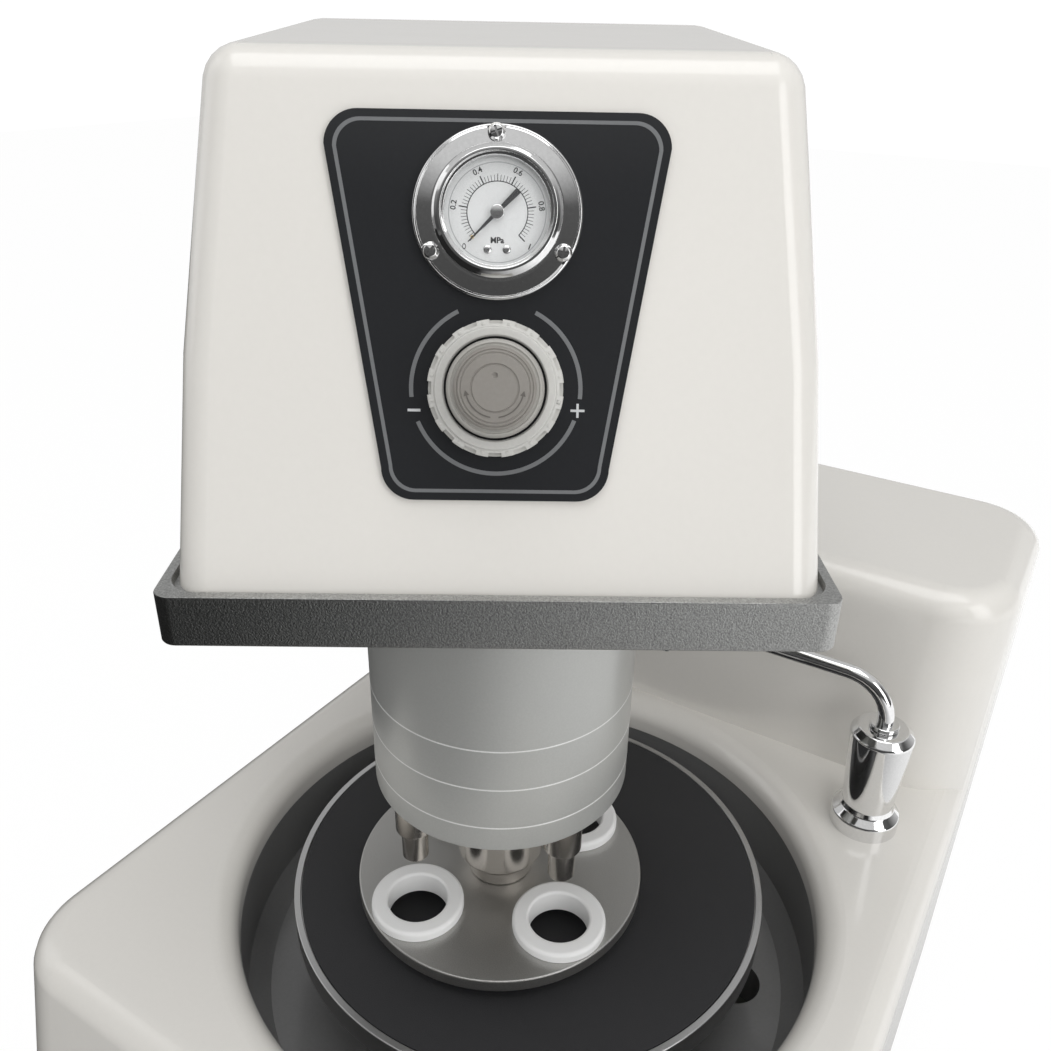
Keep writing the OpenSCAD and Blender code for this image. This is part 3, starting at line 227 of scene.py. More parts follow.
column_at = ground_spot("head_swing")
column_frame = Matrix.Translation(column_at)
tube_r, tube_top, foot_r, foot_top, pan_top, cap_r, cap_h = 28, 430, 40, 30, 22, 37, 6
ram_r, ram_low, ram_top, ram_fit = 21, 150, 542.5, 0.1
turret_r, turret_low, turret_top = 41, 250, 402
post = turned("column_piece", [
    (ram_r + ram_fit, pan_top, 0), (foot_r, pan_top, 0.5), (foot_r, foot_top, 0.5), (tube_r, foot_top, 0),
    (tube_r, turret_top, 0), (cap_r, turret_top, 0.4), (cap_r, turret_top + cap_h, 1.2),
    (tube_r, turret_top + cap_h, 0), (tube_r, tube_top, 1), (ram_r + ram_fit, tube_top, 0.5)], column_frame)
seat(post, "base", "steel", ground_steel, "column_tube")
ram = turned("ram_piece", [(0, ram_low, 0), (ram_r, ram_low, 1), (ram_r, ram_top, 1.5), (0, ram_top, 0)],
             column_frame)
chrome = finish_of("chrome", (0.80, 0.80, 0.80), metal=1, rough=0.07, smudge=0.05, slow=18, bump=0.03)
seat(ram, "lift_ram", "chrome", chrome, "lift_ram")


# Lock lever. A moulded black knuckle on the clamp's screw, with a tapered arm and a ball end, pulls
# the split clamp shut on the ram.
def frame_of(spot, across, along, out):
    """The matrix whose X, Y and Z run along these three directions from a spot."""
    return Matrix.Translation(spot) @ Matrix((across, along, out)).transposed().to_4x4()


def moved(x, y, z=0):
    """A shift in mm."""
    return Matrix.Translation((x * mm, y * mm, z * mm))


def combine(obj, kind, *tools):
    """Joins tools to the object or cuts them out of it, and removes them."""
    for tool in tools:
        applied(obj, "BOOLEAN", object=tool, operation=kind, solver="EXACT")
        bpy.data.objects.remove(tool)
    return obj


head_x = Vector(joints["lever_turn"]["axis"])
up = Vector((0, 0, 1))
head_y = up.cross(head_x)
lever_frame = frame_of(Vector(joints["lever_turn"]["pos_m"]), head_x, head_y, up)
screw_r, screw_l, knuckle_r, knuckle_l, arm_r, arm_l, ball_r = 4, 28.3, 9, 14, 5, 58, 7.5
knuckle = turned("lever_piece", [
    (0, -screw_l, 0), (screw_r, -screw_l, 0.3), (screw_r, 0, 0), (knuckle_r, 0, 0.8),
    (knuckle_r, knuckle_l, 1.5), (0, knuckle_l, 0)],
                 lever_frame @ Matrix.Rotation(math.radians(90), 4, "Y"), 64)
lever_arm = turned("lever_arm", [
    (0, 0, 0), (arm_r, 0, 0), (arm_r - 0.8, arm_l - 14, 0), (arm_r, arm_l - 12, 0), (ball_r, arm_l - 8, 2),
    (ball_r - 0.5, arm_l - 2, 2), (3, arm_l, 1), (0, arm_l, 0)],
                   lever_frame @ moved(knuckle_l / 2, 0) @ Matrix.Rotation(math.radians(-90), 4, "X"), 48)
combine(knuckle, "UNION", lever_arm)
seat(knuckle, "lock_lever", "black_plastic", black_plastic, "lock_lever")


# Base shell. A gloss off-white moulding: the low box with its sloping front, the housing at the back
# and the round turret for the column, hollow inside, with a softly rolled lip at the bowl's opening.
def hulled(name, spots, place):
    """The tight skin round soft discs: (x, y, z, radius, edge rounding, first angle of the rounding)."""
    mesh = bpy.data.meshes.new(name)
    cloud = bmesh.new()
    for x, y, z, r, edge, low in spots:
        for k in range(low, 91, 15) if edge else (90,):
            reach = r - edge + edge * math.cos(math.radians(k))
            rise = edge * math.sin(math.radians(k))
            for a in (math.tau * s / 64 for s in range(64)):
                spot = Vector((x + reach * math.cos(a), y + reach * math.sin(a), z + rise))
                cloud.verts.new(spot * mm)
    bmesh.ops.remove_doubles(cloud, verts=cloud.verts, dist=weld)
    made = bmesh.ops.convex_hull(cloud, input=cloud.verts)
    spare = {v for v in made["geom_interior"] + made["geom_unused"] if isinstance(v, bmesh.types.BMVert)}
    bmesh.ops.delete(cloud, geom=list(spare), context="VERTS")
    bmesh.ops.dissolve_limit(cloud, angle_limit=math.radians(0.4), verts=cloud.verts, edges=cloud.edges)
    cloud.to_mesh(mesh)
    cloud.free()
    mesh.transform(place)
    return placed(name, mesh)


def prisms(name, shapes, low, high, place):
    """Flat shapes, each a list of (x, y) points in mm, drawn up between two heights."""
    verts, faces = [], []
    for shape in shapes:
        n, first = len(shape), len(verts)
        verts += [(x * mm, y * mm, z * mm) for z in (low, high) for x, y in shape]
        faces += [tuple(range(first + n - 1, first - 1, -1)), tuple(range(first + n, first + 2 * n))]
        faces += [(first + i, first + (i + 1) % n, first + n + (i + 1) % n, first + n + i) for i in range(n)]
    mesh = bpy.data.meshes.new(name)
    mesh.from_pydata(verts, [], faces)
    obj = applied(placed(name, mesh), "TRIANGULATE")
    outwards(obj)
    mesh.transform(place)
    return obj


def polar(r, degrees):
    """The point at this radius and angle."""
    return Vector((r * math.cos(math.radians(degrees)), r * math.sin(math.radians(degrees))))


def rounded(half_low, half_high, low, high, r, steps=8):
    """A closed outline with rounded corners, half_low wide at its bottom and half_high at its top."""
    corners = ((half_low - r, low + r, -90), (half_high - r, high - r, 0),
               (r - half_high, high - r, 90), (r - half_low, low + r, 180))
    return [Vector((x, y)) + polar(r, a + 90 * k / steps) for x, y, a in corners for k in range(steps + 1)]


def plug(name, r, low, high, place, steps=128):
    """A plain round disc or rod between two heights, mostly to cut a hole."""
    return turned(name, [(0, low, 0), (r, low, 0), (r, high, 0), (0, high, 0)], place, steps)


still = Matrix.Identity(4)
platen_frame = Matrix.Translation(ground_spot("platen_spin"))
stop_out = -Vector(joints["emergency_press"]["axis"])
right = Vector((1, 0, 0))
stop_frame = frame_of(Vector(joints["emergency_press"]["pos_m"]), right, stop_out.cross(right), stop_out)
console_frame = stop_frame @ moved(-98, 0)
screen_frame = console_frame @ moved(-34, 0)
side_x, back_y, front_y, front_top_y, housing_y = 153, 228, -253, -208, 156
corner_r, lip_r, wall, cut = 42, 16, 5, 1
shell_foot, deck_top, housing_top, housing_low, back_room_low = 20, 260, 394, 239, 228
bowl_open_r, bowl_roll_r = 156, 13
screen_half_w, screen_half_h, stop_hole_r = 75.4, 45.4, 11.4


def soft_box(name, front_low, front_top, low, top, inset):
    """One box of the shell, or with an inset of its inner room, with its upper edges rounded."""
    r, edge, z = corner_r - inset, lip_r - inset, top - lip_r
    return hulled(name, [(x, y, low, r, 0, 0) for x in (-side_x, side_x) for y in (front_low, back_y)]
                  + [(x, y, z, r, edge, 0) for x in (-side_x, side_x) for y in (front_top, back_y)], still)


base = soft_box("base_shell_piece", front_y, front_top_y, shell_foot, deck_top, 0)
housing = soft_box("housing", housing_y, housing_y, housing_low, housing_top, 0)
turret = turned("turret", [(0, turret_low, 0), (turret_r, turret_low, 0), (turret_r, turret_top, 2),
                           (0, turret_top, 0)], column_frame)
room = soft_box("room", front_y, front_top_y, shell_foot - cut, deck_top, wall)
back_room = soft_box("back_room", housing_y, housing_y, back_room_low, housing_top, wall)
deck_collar = plug("collar", bowl_open_r + 24, deck_top - 20, deck_top + 6, platen_frame)
roll_z = deck_top - bowl_roll_r
roll_centre = Vector((bowl_open_r + bowl_roll_r, roll_z))
opening = turned("opening", [(0, deck_top - 30, 0), (bowl_open_r, deck_top - 30, 0), (bowl_open_r, roll_z, 0)]
                 + [(*(roll_centre + polar(bowl_roll_r, 180 - k)), 0) for k in range(10, 91, 10)]
                 + [(roll_centre.x, deck_top + 4, 0), (0, deck_top + 4, 0)], platen_frame, 192)
column_hole = plug("column_hole", tube_r + 0.3, 300, turret_top + 8, column_frame)
stop_hole = plug("stop_hole", stop_hole_r, -20, 4, stop_frame)
screen_hole = prisms("screen_hole", [rounded(screen_half_w, screen_half_w, -screen_half_h, screen_half_h, 1)],
                     -22, 4, screen_frame)
back_hole = prisms("back_hole", [rounded(145, 145, 49, 361, 4)], 0, 20,
                   moved(0, 275) @ Matrix.Rotation(math.radians(90), 4, "X"))
combine(base, "UNION", housing, turret)
combine(room, "UNION", back_room)
combine(room, "DIFFERENCE", deck_collar)
combine(base, "DIFFERENCE", room, opening, column_hole, stop_hole, screen_hole, back_hole)
shell_gloss = finish_of("shell_gloss", (0.76, 0.74, 0.70), rough=0.2, smudge=0.06, fine=400, slow=9,
                        bump=0.04, coat=0.4, speckle=0.006)
seat(base, "base", "shell_white", shell_gloss, "base_shell")

# Rear panel, mains inlet, fittings and drain. A painted steel panel closes the back. The black inlet
# with its red rocker, the brass fittings and the plastic drain are screwed to it and keep their CAD shapes.
finish_of("rear_paint", (0.56, 0.57, 0.57), rough=0.38, fine=1400, slow=14, bump=0.25, nodes=("rear_panel",))
finish_of("rocker_red", (0.5, 0.02, 0.015), rough=0.25, fine=700, bump=0.05, nodes=("power_rocker",))
finish_of("brass_nickel", (0.66, 0.55, 0.32), metal=1, rough=0.24, smudge=0.1, fine=1500, slow=26,
          nodes=("rear_fittings",))
finish_of("drain_plastic", (0.62, 0.62, 0.59), rough=0.4, fine=700, slow=14, bump=0.08, nodes=("drain_pipe",))

# Bowl. A grey moulded basin hangs from the deck's collar, with its floor falling to the drain. It
# keeps its CAD shape.
finish_of("basin_grey", (0.22, 0.22, 0.22), rough=0.3, smudge=0.1, fine=600, slow=12, coat=0.3,
          nodes=("bowl",))

# Platen and disc. The turned aluminium platen on its spindle has a thin bright rim, and a black
# abrasive disc is stuck down inside it.
platen_low, platen_top, platen_r, disc_r, disc_low = 242, 256, 127, 123.1, 254.5
rim = turned("platen_piece", [(0, platen_low, 0), (platen_r, platen_low, 0.8), (platen_r, platen_top, 0.6),
                              (disc_r + 0.4, platen_top, 0.4), (disc_r + 0.4, disc_low, 0), (0, disc_low, 0)],
             platen_frame, 192)
platen_metal = finish_of("platen_metal", (0.5, 0.5, 0.5), metal=1, rough=0.3, smudge=0.1, fine=1800, bump=0.2)
seat(rim, "platen", "blasted_aluminium", platen_metal, "platen")
paper = turned("disc_piece", [(0, disc_low + 0.05, 0), (disc_r, disc_low + 0.05, 0),
                              (disc_r, platen_top, 0.3), (0, platen_top, 0)], platen_frame, 192)
grit = finish_of("grit", (0.018, 0.018, 0.02), rough=0.62, smudge=0.1, fine=3200, slow=12, bump=0.9,
                 depth=0.0004)
seat(paper, "platen", "grit_paper", grit, "polishing_disc")

# Faucet. The polished body rises from a round foot as a slim cone to its cap. The spout, a bent tube,
# stands in a small nut, runs level over the bowl and turns down at its outlet.
faucet_frame = Matrix.Translation(ground_spot("spout_swivel"))
thread_r, thread_low, body_top, nut_top, bore_low, bore_r = 12, 226, 328, 331, 316, 5.6
bend_r, spout_reach, spout_r = 24, 132, 4.5
body = turned("faucet_piece", [
    (0, thread_low, 0), (thread_r, thread_low, 0), (thread_r, deck_top, 0), (19, deck_top, 0), (19, 269, 2.5),
    (15, 273, 2), (14, 276, 2), (17.5, 324, 3), (13.5, body_top, 1.5), (bore_r, body_top, 0),
    (bore_r, bore_low, 0), (0, bore_low, 0)], faucet_frame)
seat(body, "base", "chrome", chrome, "faucet_body")
near, far = Vector((-bend_r, nut_top + 1)), Vector((bend_r - spout_reach, nut_top + 1))
path = [(0, nut_top)] + [near + polar(bend_r, k) for k in range(0, 91, 10)]
path += [far + polar(bend_r, k) for k in range(90, 181, 10)] + [(-spout_reach, nut_top + 0.2)]
curve = bpy.data.curves.new("spout_curve", "CURVE")
curve.dimensions = "3D"
curve.bevel_depth = spout_r * mm
curve.bevel_resolution = 8
curve.use_fill_caps = True
line = curve.splines.new("POLY")
line.points.add(len(path) - 1)
for point, (x, z) in zip(line.points, path):
    point.co = (x * mm, 0, z * mm, 1)
alone(placed("spout_piece", curve))
bpy.ops.object.convert(target="MESH")
spout = bpy.context.object
spout.data.transform(faucet_frame)
nut = turned("spout_nut", [(0, bore_low + 0.2, 0), (bore_r - 0.1, bore_low + 0.2, 0),
                           (bore_r - 0.1, body_top + 0.3, 0), (8, body_top + 0.3, 0.5), (8, nut_top, 0.8),
                           (0, nut_top, 0)], faucet_frame)
combine(spout, "UNION", nut)
seat(spout, "faucet_spout", "chrome", chrome, "faucet_spout")

# Control panel. A dark glossy moulding is stuck to the sloping front, round the touch screen, whose
# lit page shows a speed bar, a dial line and four keys.
board_half_w, board_half_h, board_t, page_low = 140, 56, 3, 2.6
board = prisms("console_piece", [rounded(board_half_w, board_half_w, -board_half_h, board_half_h, 10, 10)],
               0, board_t, console_frame)
window = rounded(screen_half_w - 0.1, screen_half_w - 0.1, 0.1 - screen_half_h, screen_half_h - 0.1, 1)
combine(board, "DIFFERENCE", plug("hole", stop_hole_r, -board_t, 2 * board_t, stop_frame),
        prisms("hole", [window], -board_t, 2 * board_t, screen_frame))
applied(board, "BEVEL", width=0.8 * mm, segments=3, limit_method="ANGLE", angle_limit=math.radians(50))
seat(board, "base", "dark_panel", finish_of("console_gloss", (0.05, 0.053, 0.06), rough=0.22, smudge=0.1,
                                            fine=800, slow=14, bump=0.06, coat=0.3), "control_panel")
finish_of("screen_glass", (0.008, 0.009, 0.012), rough=0.06, smudge=0.04, fine=400, slow=12, bump=0.01,
          coat=0.5, nodes=("touch_screen",))
screen_lit = finish_of("screen_lit", (0.10, 0.22, 0.34), rough=0.3, smudge=0.04, fine=500, slow=10, bump=0.01)
screen_lit.node_tree.nodes["Principled BSDF"].inputs["Emission Color"].default_value = (0.10, 0.24, 0.40, 1)
screen_lit.node_tree.nodes["Principled BSDF"].inputs["Emission Strength"].default_value = 0.5
key, bar = rounded(12, 12, -8, 8, 2, 4), rounded(60, 60, -6, 6, 2, 4)
page = [[p + Vector((x, -24)) for p in key] for x in (-48, -16, 16, 48)]
page.append([p + Vector((0, 20)) for p in bar])
seat(prisms("screen_page", page, page_low, board_t - 0.05, screen_frame), "base", "screen_glass", screen_lit)


def ring_part(inner, outer, start, end, steps=24):
    """The outline of part of a flat ring between two angles in degrees, both radii in mm."""
    angles = [start + (end - start) * k / steps for k in range(steps + 1)]
    return [polar(outer, a) for a in angles] + [polar(inner, a) for a in reversed(angles)]


print_light = finish_of("print_light", (0.55, 0.56, 0.57), rough=0.4, smudge=0.04, fine=500, slow=10,
                        bump=0.02)
level_line = [ring_part(10.2, 11.6, 200, -20, 40), [(-60, 2), (60, 2), (60, 2.6), (-60, 2.6)]]
seat(prisms("screen_line", level_line, page_low, board_t - 0.1, screen_frame @ moved(0, -2)),
     "base", "screen_glass", print_light)

# Emergency switch. A red moulded mushroom button with printed arrows stands on its stem in a yellow
# collar, which is clamped to the shell and the panel from behind.
stem_r, button_r, button_low, button_top = 5, 17, 11.1, 21.05
stop_yellow = finish_of("stop_yellow", (0.75, 0.5, 0.03), rough=0.35, fine=800, bump=0.08)
collar = turned("stop_collar", [(stem_r + 0.1, -34, 0), (11, -34, 1), (11, board_t, 0), (19, board_t, 0.3),
                                (18.2, 6, 0.8), (8.4, 6, 0.4), (8.4, -4, 0), (stem_r + 0.1, -4, 0)],
                stop_frame, 96)
seat(collar, "base", "yellow_plastic", stop_yellow, "emergency_switch")
stop_red = finish_of("stop_red", (0.55, 0.02, 0.015), rough=0.22, fine=700, bump=0.05, coat=0.3)
button = turned("stop_button", [
    (0, -17, 0), (stem_r, -17, 0.3), (stem_r, 1, 0), (8, 1, 0), (8, button_low, 0),
    (button_r, button_low, 0.8), (button_r, 16.5, 2), (14.3, 20.6, 2.5), (0, button_top, 0)], stop_frame, 96)
seat(button, "emergency_button", "red_plastic", stop_red, "emergency_button")


def arrow_head(r, angle, way, half, length):
    """A small triangle on a circle, which points along it: way is 1 against the clock and -1 with it."""
    return [polar(r, angle) + polar(length, angle + 90 * way), polar(r - half, angle), polar(r + half, angle)]


arrow_r, arrow_sweep = 9.1, 62
turns = []
for a in (30, 150, 270):
    turns.append(ring_part(arrow_r - 0.5, arrow_r + 0.5, a, a + arrow_sweep, 14))
    turns.append(arrow_head(arrow_r, a + arrow_sweep, 1, 1.4, 2.4))
seat(prisms("stop_arrows", turns, 20.5, button_top - 0.03, stop_frame), "emergency_button", "red_plastic",
     print_light)

# Head plate. A cast aluminium arm, bead blasted, 20 mm thick: a flat floor inside a narrow raised rim,
# with holes for the drive's carrier and for the clamp's neck, which hold it on the ram.
head_frame = frame_of(ground_spot("drum_spin"), head_x, head_y, up)
column_reach, plate_half, plate_front, plate_back, plate_tail_r = 262, 119, 101, 132, 45
plate_low, plate_top, rim_w, pocket_floor = 475, 495, 4.4, 492.5


def arm(inset, r, levels):
    """The arm's plan drawn in by the inset, through levels of (height, how far its edge is trimmed)."""
    corners = [(x, y) for x in (inset + r - plate_half, plate_half - inset - r)
               for y in (inset + r - plate_front, plate_back - inset - r)]
    tail = plate_tail_r - inset
    return hulled("arm", [(x, y, z, r - trim, 0, 0) for z, trim in levels for x, y in corners]
                  + [(0, column_reach, z, tail - trim, 0, 0) for z, trim in levels], head_frame)


plate = arm(0, 6.5, [(plate_low, 0.8), (plate_low + 0.3, 0.3), (plate_low + 0.8, 0), (plate_top - 0.7, 0),
                     (plate_top - 0.2, 0.25), (plate_top, 0.7)])
pocket = arm(rim_w, 6.5 + rim_w, [(pocket_floor, 0), (plate_top - 0.5, 0), (plate_top + 0.2, -0.7)])
combine(plate, "DIFFERENCE", pocket, plug("carrier_hole", 39.8, plate_low - 5, plate_top + 5, head_frame),
        plug("neck_hole", 30.3, plate_low - 5, plate_top + 5, column_frame))
plate.name = "head_plate_piece"
blasted = finish_of("blasted", (0.38, 0.382, 0.375), metal=1, rough=0.33, fine=1500, slow=12, bump=0.6,
                    depth=0.0003, speckle=0.26)
seat(plate, "head", "blasted_aluminium", blasted, "head_plate")

# Head shell. One off-white gloss moulding is screwed down in the plate's pocket: the hood over the
# drive and gauge, whose face leans back 20 degrees, runs into a lower tail over the column.
face_out = Vector(joints["needle_turn"]["axis"])
face_up = face_out.cross(head_x)
knob_at = Vector(joints["knob_pull"]["pos_m"])
gauge_frame = frame_of(Vector(joints["needle_turn"]["pos_m"]) - face_out * 4 * mm, head_x, face_up, face_out)
knob_frame = frame_of(knob_at, head_x, face_up, face_out)
ports = ((gauge_frame, 20.3), (knob_frame, 17.1))
hood_r, tail_r, tail_top, shell_wall = 14, 39.8, 580.5, 3.5


def hood_and_tail(inset, drop):
    """The shell's skin, or with an inset its inner room, which drops through the open foot."""
    r, foot = hood_r - inset, pocket_floor - drop
    hood = hulled("hood", [(x, y, foot, r, 0, 0) for x in (-99.8, 99.8) for y in (-81.8, 113.6)]
                  + [(x, y, 563.887, r, r, -90) for x in (-96.2, 96.2) for y in (-55.28, 112.6)]
                  + [(x, -24.423, 648.683, r, r, -90) for x in (-87, 87)]
                  + [(x, 108, 655.62, r, r, -90) for x in (-83, 83)], head_frame)
    tail = hulled("tail", [(x, 104, foot, r, 0, 0) for x in (-85.8, 85.8)]
                  + [(x, 90, tail_top - hood_r, r, r, -90) for x in (-64, 64)]
                  + [(0, column_reach, foot, tail_r - inset, 0, 0),
                     (0, column_reach, tail_top - hood_r, tail_r - inset, r, 0)], head_frame)
    return combine(hood, "UNION", tail)


hood = hood_and_tail(0, 0)
combine(hood, "DIFFERENCE", hood_and_tail(shell_wall, cut))
for at, r in ports:
    combine(hood, "DIFFERENCE", plug("port", r, -12, 6, at))
hood.name = "head_shell_piece"
seat(hood, "head", "shell_white", shell_gloss, "head_shell")

# Drum. Four satin aluminium rings are bolted up on the spindle: the tall upper ring, the cylinder block, the
# lower ring and the end ring, with fine bright seams where their edges meet. A thin ring at each seam stands
# for the polished chamfers, and its pale colour is a painted highlight of the light they catch.
satin_drum = finish_of("satin_drum", (0.48, 0.485, 0.47), metal=0.4, rough=0.3, smudge=0.1, fine=1200,
                       slow=26, bump=0.12)
# Painted highlight: the seam rings' pale colour stands in for the light that the polished chamfers catch.
seam_painted_highlight = finish_of("seam_painted_highlight", (0.80, 0.80, 0.79), metal=0.2, rough=0.3, smudge=0.05, bump=0.03)
drum_r, drum_bore_r, drum_roof, spindle_hole_r, joint_gap = 62.5, 57.5, 8, 13, 0.02
end_low, lower_low, block_low, block_top, drum_top = 340.5, 353.5, 375.3, 396.5, 474
pin_frames = [frame_of(ground_spot(f"pin_{i}_press"), head_x, head_y, up) for i in (1, 2, 3, 4)]
roof_low = drum_top - drum_roof
upper = turned("drum_top_ring", [
    (drum_bore_r, block_top, 0), (drum_r, block_top, 0.5), (drum_r, drum_top, 1.2),
    (spindle_hole_r, drum_top, 0), (spindle_hole_r, roof_low, 0), (drum_bore_r, roof_low, 3)],
               head_frame, 192)
seat(upper, "drum", "satin_drum", satin_drum, "drum_upper")
for name, node, low, high in (("drum_block", "cylinder_block", block_low, block_top),
                              ("drum_low_ring", "drum_lower", lower_low, block_low),
                              ("drum_end_ring", "drum_end", end_low, lower_low)):
    low, high = low + joint_gap, high - joint_gap
    ring = turned(name, [(0, low, 0), (drum_r, low, 0.5), (drum_r, high, 0.5), (0, high, 0)], head_frame, 192)
    for at in pin_frames:
        combine(ring, "DIFFERENCE", plug("way", 9.1, low - cut, high + cut, at, 64))
    seat(ring, "drum", "satin_drum", satin_drum, node)
# Seam rings for the polished chamfers, coloured with the painted highlight.
seam_in, seam_out, seam_h = drum_r - 0.9, drum_r + 0.06, 0.42
for z in (lower_low, block_low, block_top):
    seam = turned("drum_seam", [(seam_in, z - seam_h, 0), (seam_out, z - seam_h, 0.2),
                                (seam_out, z + seam_h, 0.2), (seam_in, z + seam_h, 0)], head_frame, 192)
    seat(seam, "drum", "satin_drum", seam_painted_highlight)

# Pressure pins. Four polished steel pins, each with a piston in the cylinder block, slide in polished
# sleeves that are pressed into the lower ring, and push the specimens down.
pin_steel = finish_of("pin_steel", (0.62, 0.585, 0.54), metal=1, rough=0.2, fine=1200, slow=30, bump=0.08)
pin_r, pin_low, piston_low, piston_top, piston_r, sleeve_low = 6.5, 305, 378.5, 387.5, 9, 322.5
for i, at in enumerate(pin_frames, 1):
    guide = turned(f"guide_{i}", [(pin_r + 0.05, sleeve_low, 0.3), (piston_r, sleeve_low, 0.8),
                                  (piston_r, lower_low - 0.1, 0), (pin_r + 0.05, lower_low - 0.1, 0)], at, 64)
    seat(guide, "drum", "chrome", pin_steel, "pin_guides")
    pin = turned(f"pin_piece_{i}", [
        (0, pin_low, 0), (pin_r, pin_low, 1.2), (pin_r, piston_low, 0), (piston_r, piston_low, 0.4),
        (piston_r, piston_top, 0.4), (0, piston_top, 0)], at, 64)
    seat(pin, f"pin_{i}", "chrome", pin_steel, f"pin_{i}")

# Chuck hub, holder disc and bushes. The polished hub widens into its collar under the drum and holds
# the blasted disc, 150 mm across. Four white flanged bushes are pressed into it round the holes.
hub_r, hub_collar_r, holder_r, holder_low, holder_top = 17, 22.5, 75, 262.5, 269.5
bush_bore_r, bush_r, flange_r, flange_top = 15, 19, 23.3, 275
hub = turned("hub_piece", [(0, holder_top + 0.1, 0), (hub_r, holder_top + 0.1, 0.6), (hub_r, 277, 2),
                           (hub_collar_r, 283, 2), (hub_collar_r, end_low - 0.1, 0.5), (0, end_low - 0.1, 0)],
             head_frame)
seat(hub, "drum", "chrome", pin_steel, "chuck_hub")
disc = turned("holder_piece", [(0, holder_low, 0), (holder_r, holder_low, 0.9), (holder_r, holder_top, 0.9),
                               (0, holder_top, 0)], head_frame, 192)
# The bushes keep the plain matt white of their CAD node.
ptfe = bpy.data.materials["ptfe"]
for i, at in enumerate(pin_frames, 1):
    combine(disc, "DIFFERENCE", plug("seat_hole", bush_r + 0.1, holder_low - 2.5, holder_top + 2.5, at, 96))
    bush = turned(f"bush_{i}", [(bush_bore_r, holder_low, 0.5), (bush_r, holder_low, 0.5),
                                (bush_r, holder_top + 0.05, 0), (flange_r, holder_top + 0.05, 0.4),
                                (flange_r, flange_top, 2), (bush_bore_r, flange_top, 1.5)], at, 96)
    seat(bush, "drum", "ptfe", ptfe, "specimen_bushes")
disc_blasted = finish_of("disc_blasted", (0.50, 0.495, 0.48), metal=1, rough=0.42, smudge=0.12, fine=2000,
                         slow=16, bump=0.5, depth=0.0002, speckle=0.12)
seat(disc, "drum", "blasted_aluminium", disc_blasted, "holder_disc")

# Fascia. A glossy dark panel, wider at the top, is stuck to the sloping face. A grey line is printed
# inside its edge, and three arcs and the minus and plus signs round the regulator.
face_frame = frame_of(knob_at - face_up * 71 * mm, head_x, face_up, face_out)
fascia_t, ink_low, ink_top = 1.5, 1.46, 1.56
panel = prisms("fascia_piece", [rounded(38.5, 56.5, 33.5, 160, 11, 12)], 0, fascia_t, face_frame)
for at, r in ports:
    combine(panel, "DIFFERENCE", plug("port", r, -4, 6, at))
applied(panel, "BEVEL", width=0.4 * mm, segments=2, limit_method="ANGLE", angle_limit=math.radians(50))
seat(panel, "head", "dark_panel", finish_of("fascia_gloss", (0.020, 0.021, 0.023), rough=0.1, smudge=0.05,
                                            fine=700, slow=12, bump=0.03, coat=0.25), "fascia")
print_dim = finish_of("print_dim", (0.16, 0.165, 0.17), rough=0.4, smudge=0.04, fine=500, slow=10, bump=0.02)
outer, inner = rounded(35.9, 53.7, 36.1, 157.4, 9, 12), rounded(34.7, 52.4, 37.3, 156.2, 8, 12)
half = len(outer) // 2
border = [outer[:half + 1] + inner[half::-1], outer[half:] + outer[:1] + inner[:1] + inner[:half - 1:-1]]
seat(prisms("fascia_border", border, ink_low, ink_top, face_frame), "head", "dark_panel", print_dim)
arcs = [ring_part(27.6, 29.0, start, end, 40) for start, end in ((116.6, 186), (-6, 62.9), (203, 339))]
seat(prisms("fascia_arcs", arcs, ink_low, ink_top, knob_frame), "head", "dark_panel", print_dim)
minus, plus, sign_w = polar(28.3, 195), polar(28.3, -14), 0.4
bars = ((minus, -2.15, -0.45, 2.15, 0.45), (plus, -2.35, -sign_w, 2.35, sign_w),
        (plus, -sign_w, sign_w, sign_w, 2.35), (plus, -sign_w, -2.35, sign_w, -sign_w))
signs = [[at + Vector(corner) for corner in ((x0, y0), (x1, y0), (x1, y1), (x0, y1))]
         for at, x0, y0, x1, y1 in bars]
seat(prisms("fascia_signs", signs, ink_low, ink_top + 0.02, knob_frame), "head", "dark_panel", print_light)

# Gauge case. The polished flange is held to the fascia by three cross-head screws, and the pressed
# case behind it ends in a stepped bezel that grips the clear lens.
lens_low, lens_top, lens_r = 6.1, 7.28, 18.7
flange_bore_r, gauge_flange_r = 20.05, 27.9
flange = turned("flange_piece", [
    (flange_bore_r, fascia_t, 0), (gauge_flange_r, fascia_t, 0.4), (gauge_flange_r, 3.9, 0.9),
    (27.1, 4.2, 0.3), (26.5, 3.6, 0.15), (22.0, 4.25, 0.2), (flange_bore_r, 4.3, 0)], gauge_frame, 160)
for a in (91, 210, -30):
    at = gauge_frame @ moved(*polar(25, a))
    combine(flange, "DIFFERENCE", plug("hole", 1.6, 0, 6, at, 24))
    screw = turned("gauge_screw", [(0, fascia_t, 0), (1.45, fascia_t, 0), (1.45, 4, 0), (2.9, 4, 0.2),
                                   (2.9, 4.7, 0.4), (2, 5.7, 0.6), (0, 5.9, 0)], at, 48)
    for slot_angle in (20, 110):
        slot = [(-1.9, -0.38), (1.9, -0.38), (1.9, 0.38), (-1.9, 0.38)]
        combine(screw, "DIFFERENCE", prisms("slot", [slot], 4.8, 7,
                                            at @ Matrix.Rotation(math.radians(slot_angle + a), 4, "Z")))
    seat(screw, "head", "chrome", chrome, "gauge_screws")
seat(flange, "head", "chrome", chrome, "gauge_flange")
case_r, case_low, case_wall, bezel_r, bezel_low, bezel_top = 20, -26, 1.2, 21.2, 4.25, 8.9
case_bore_r, bezel_seat = case_r - case_wall, lens_top + 0.02
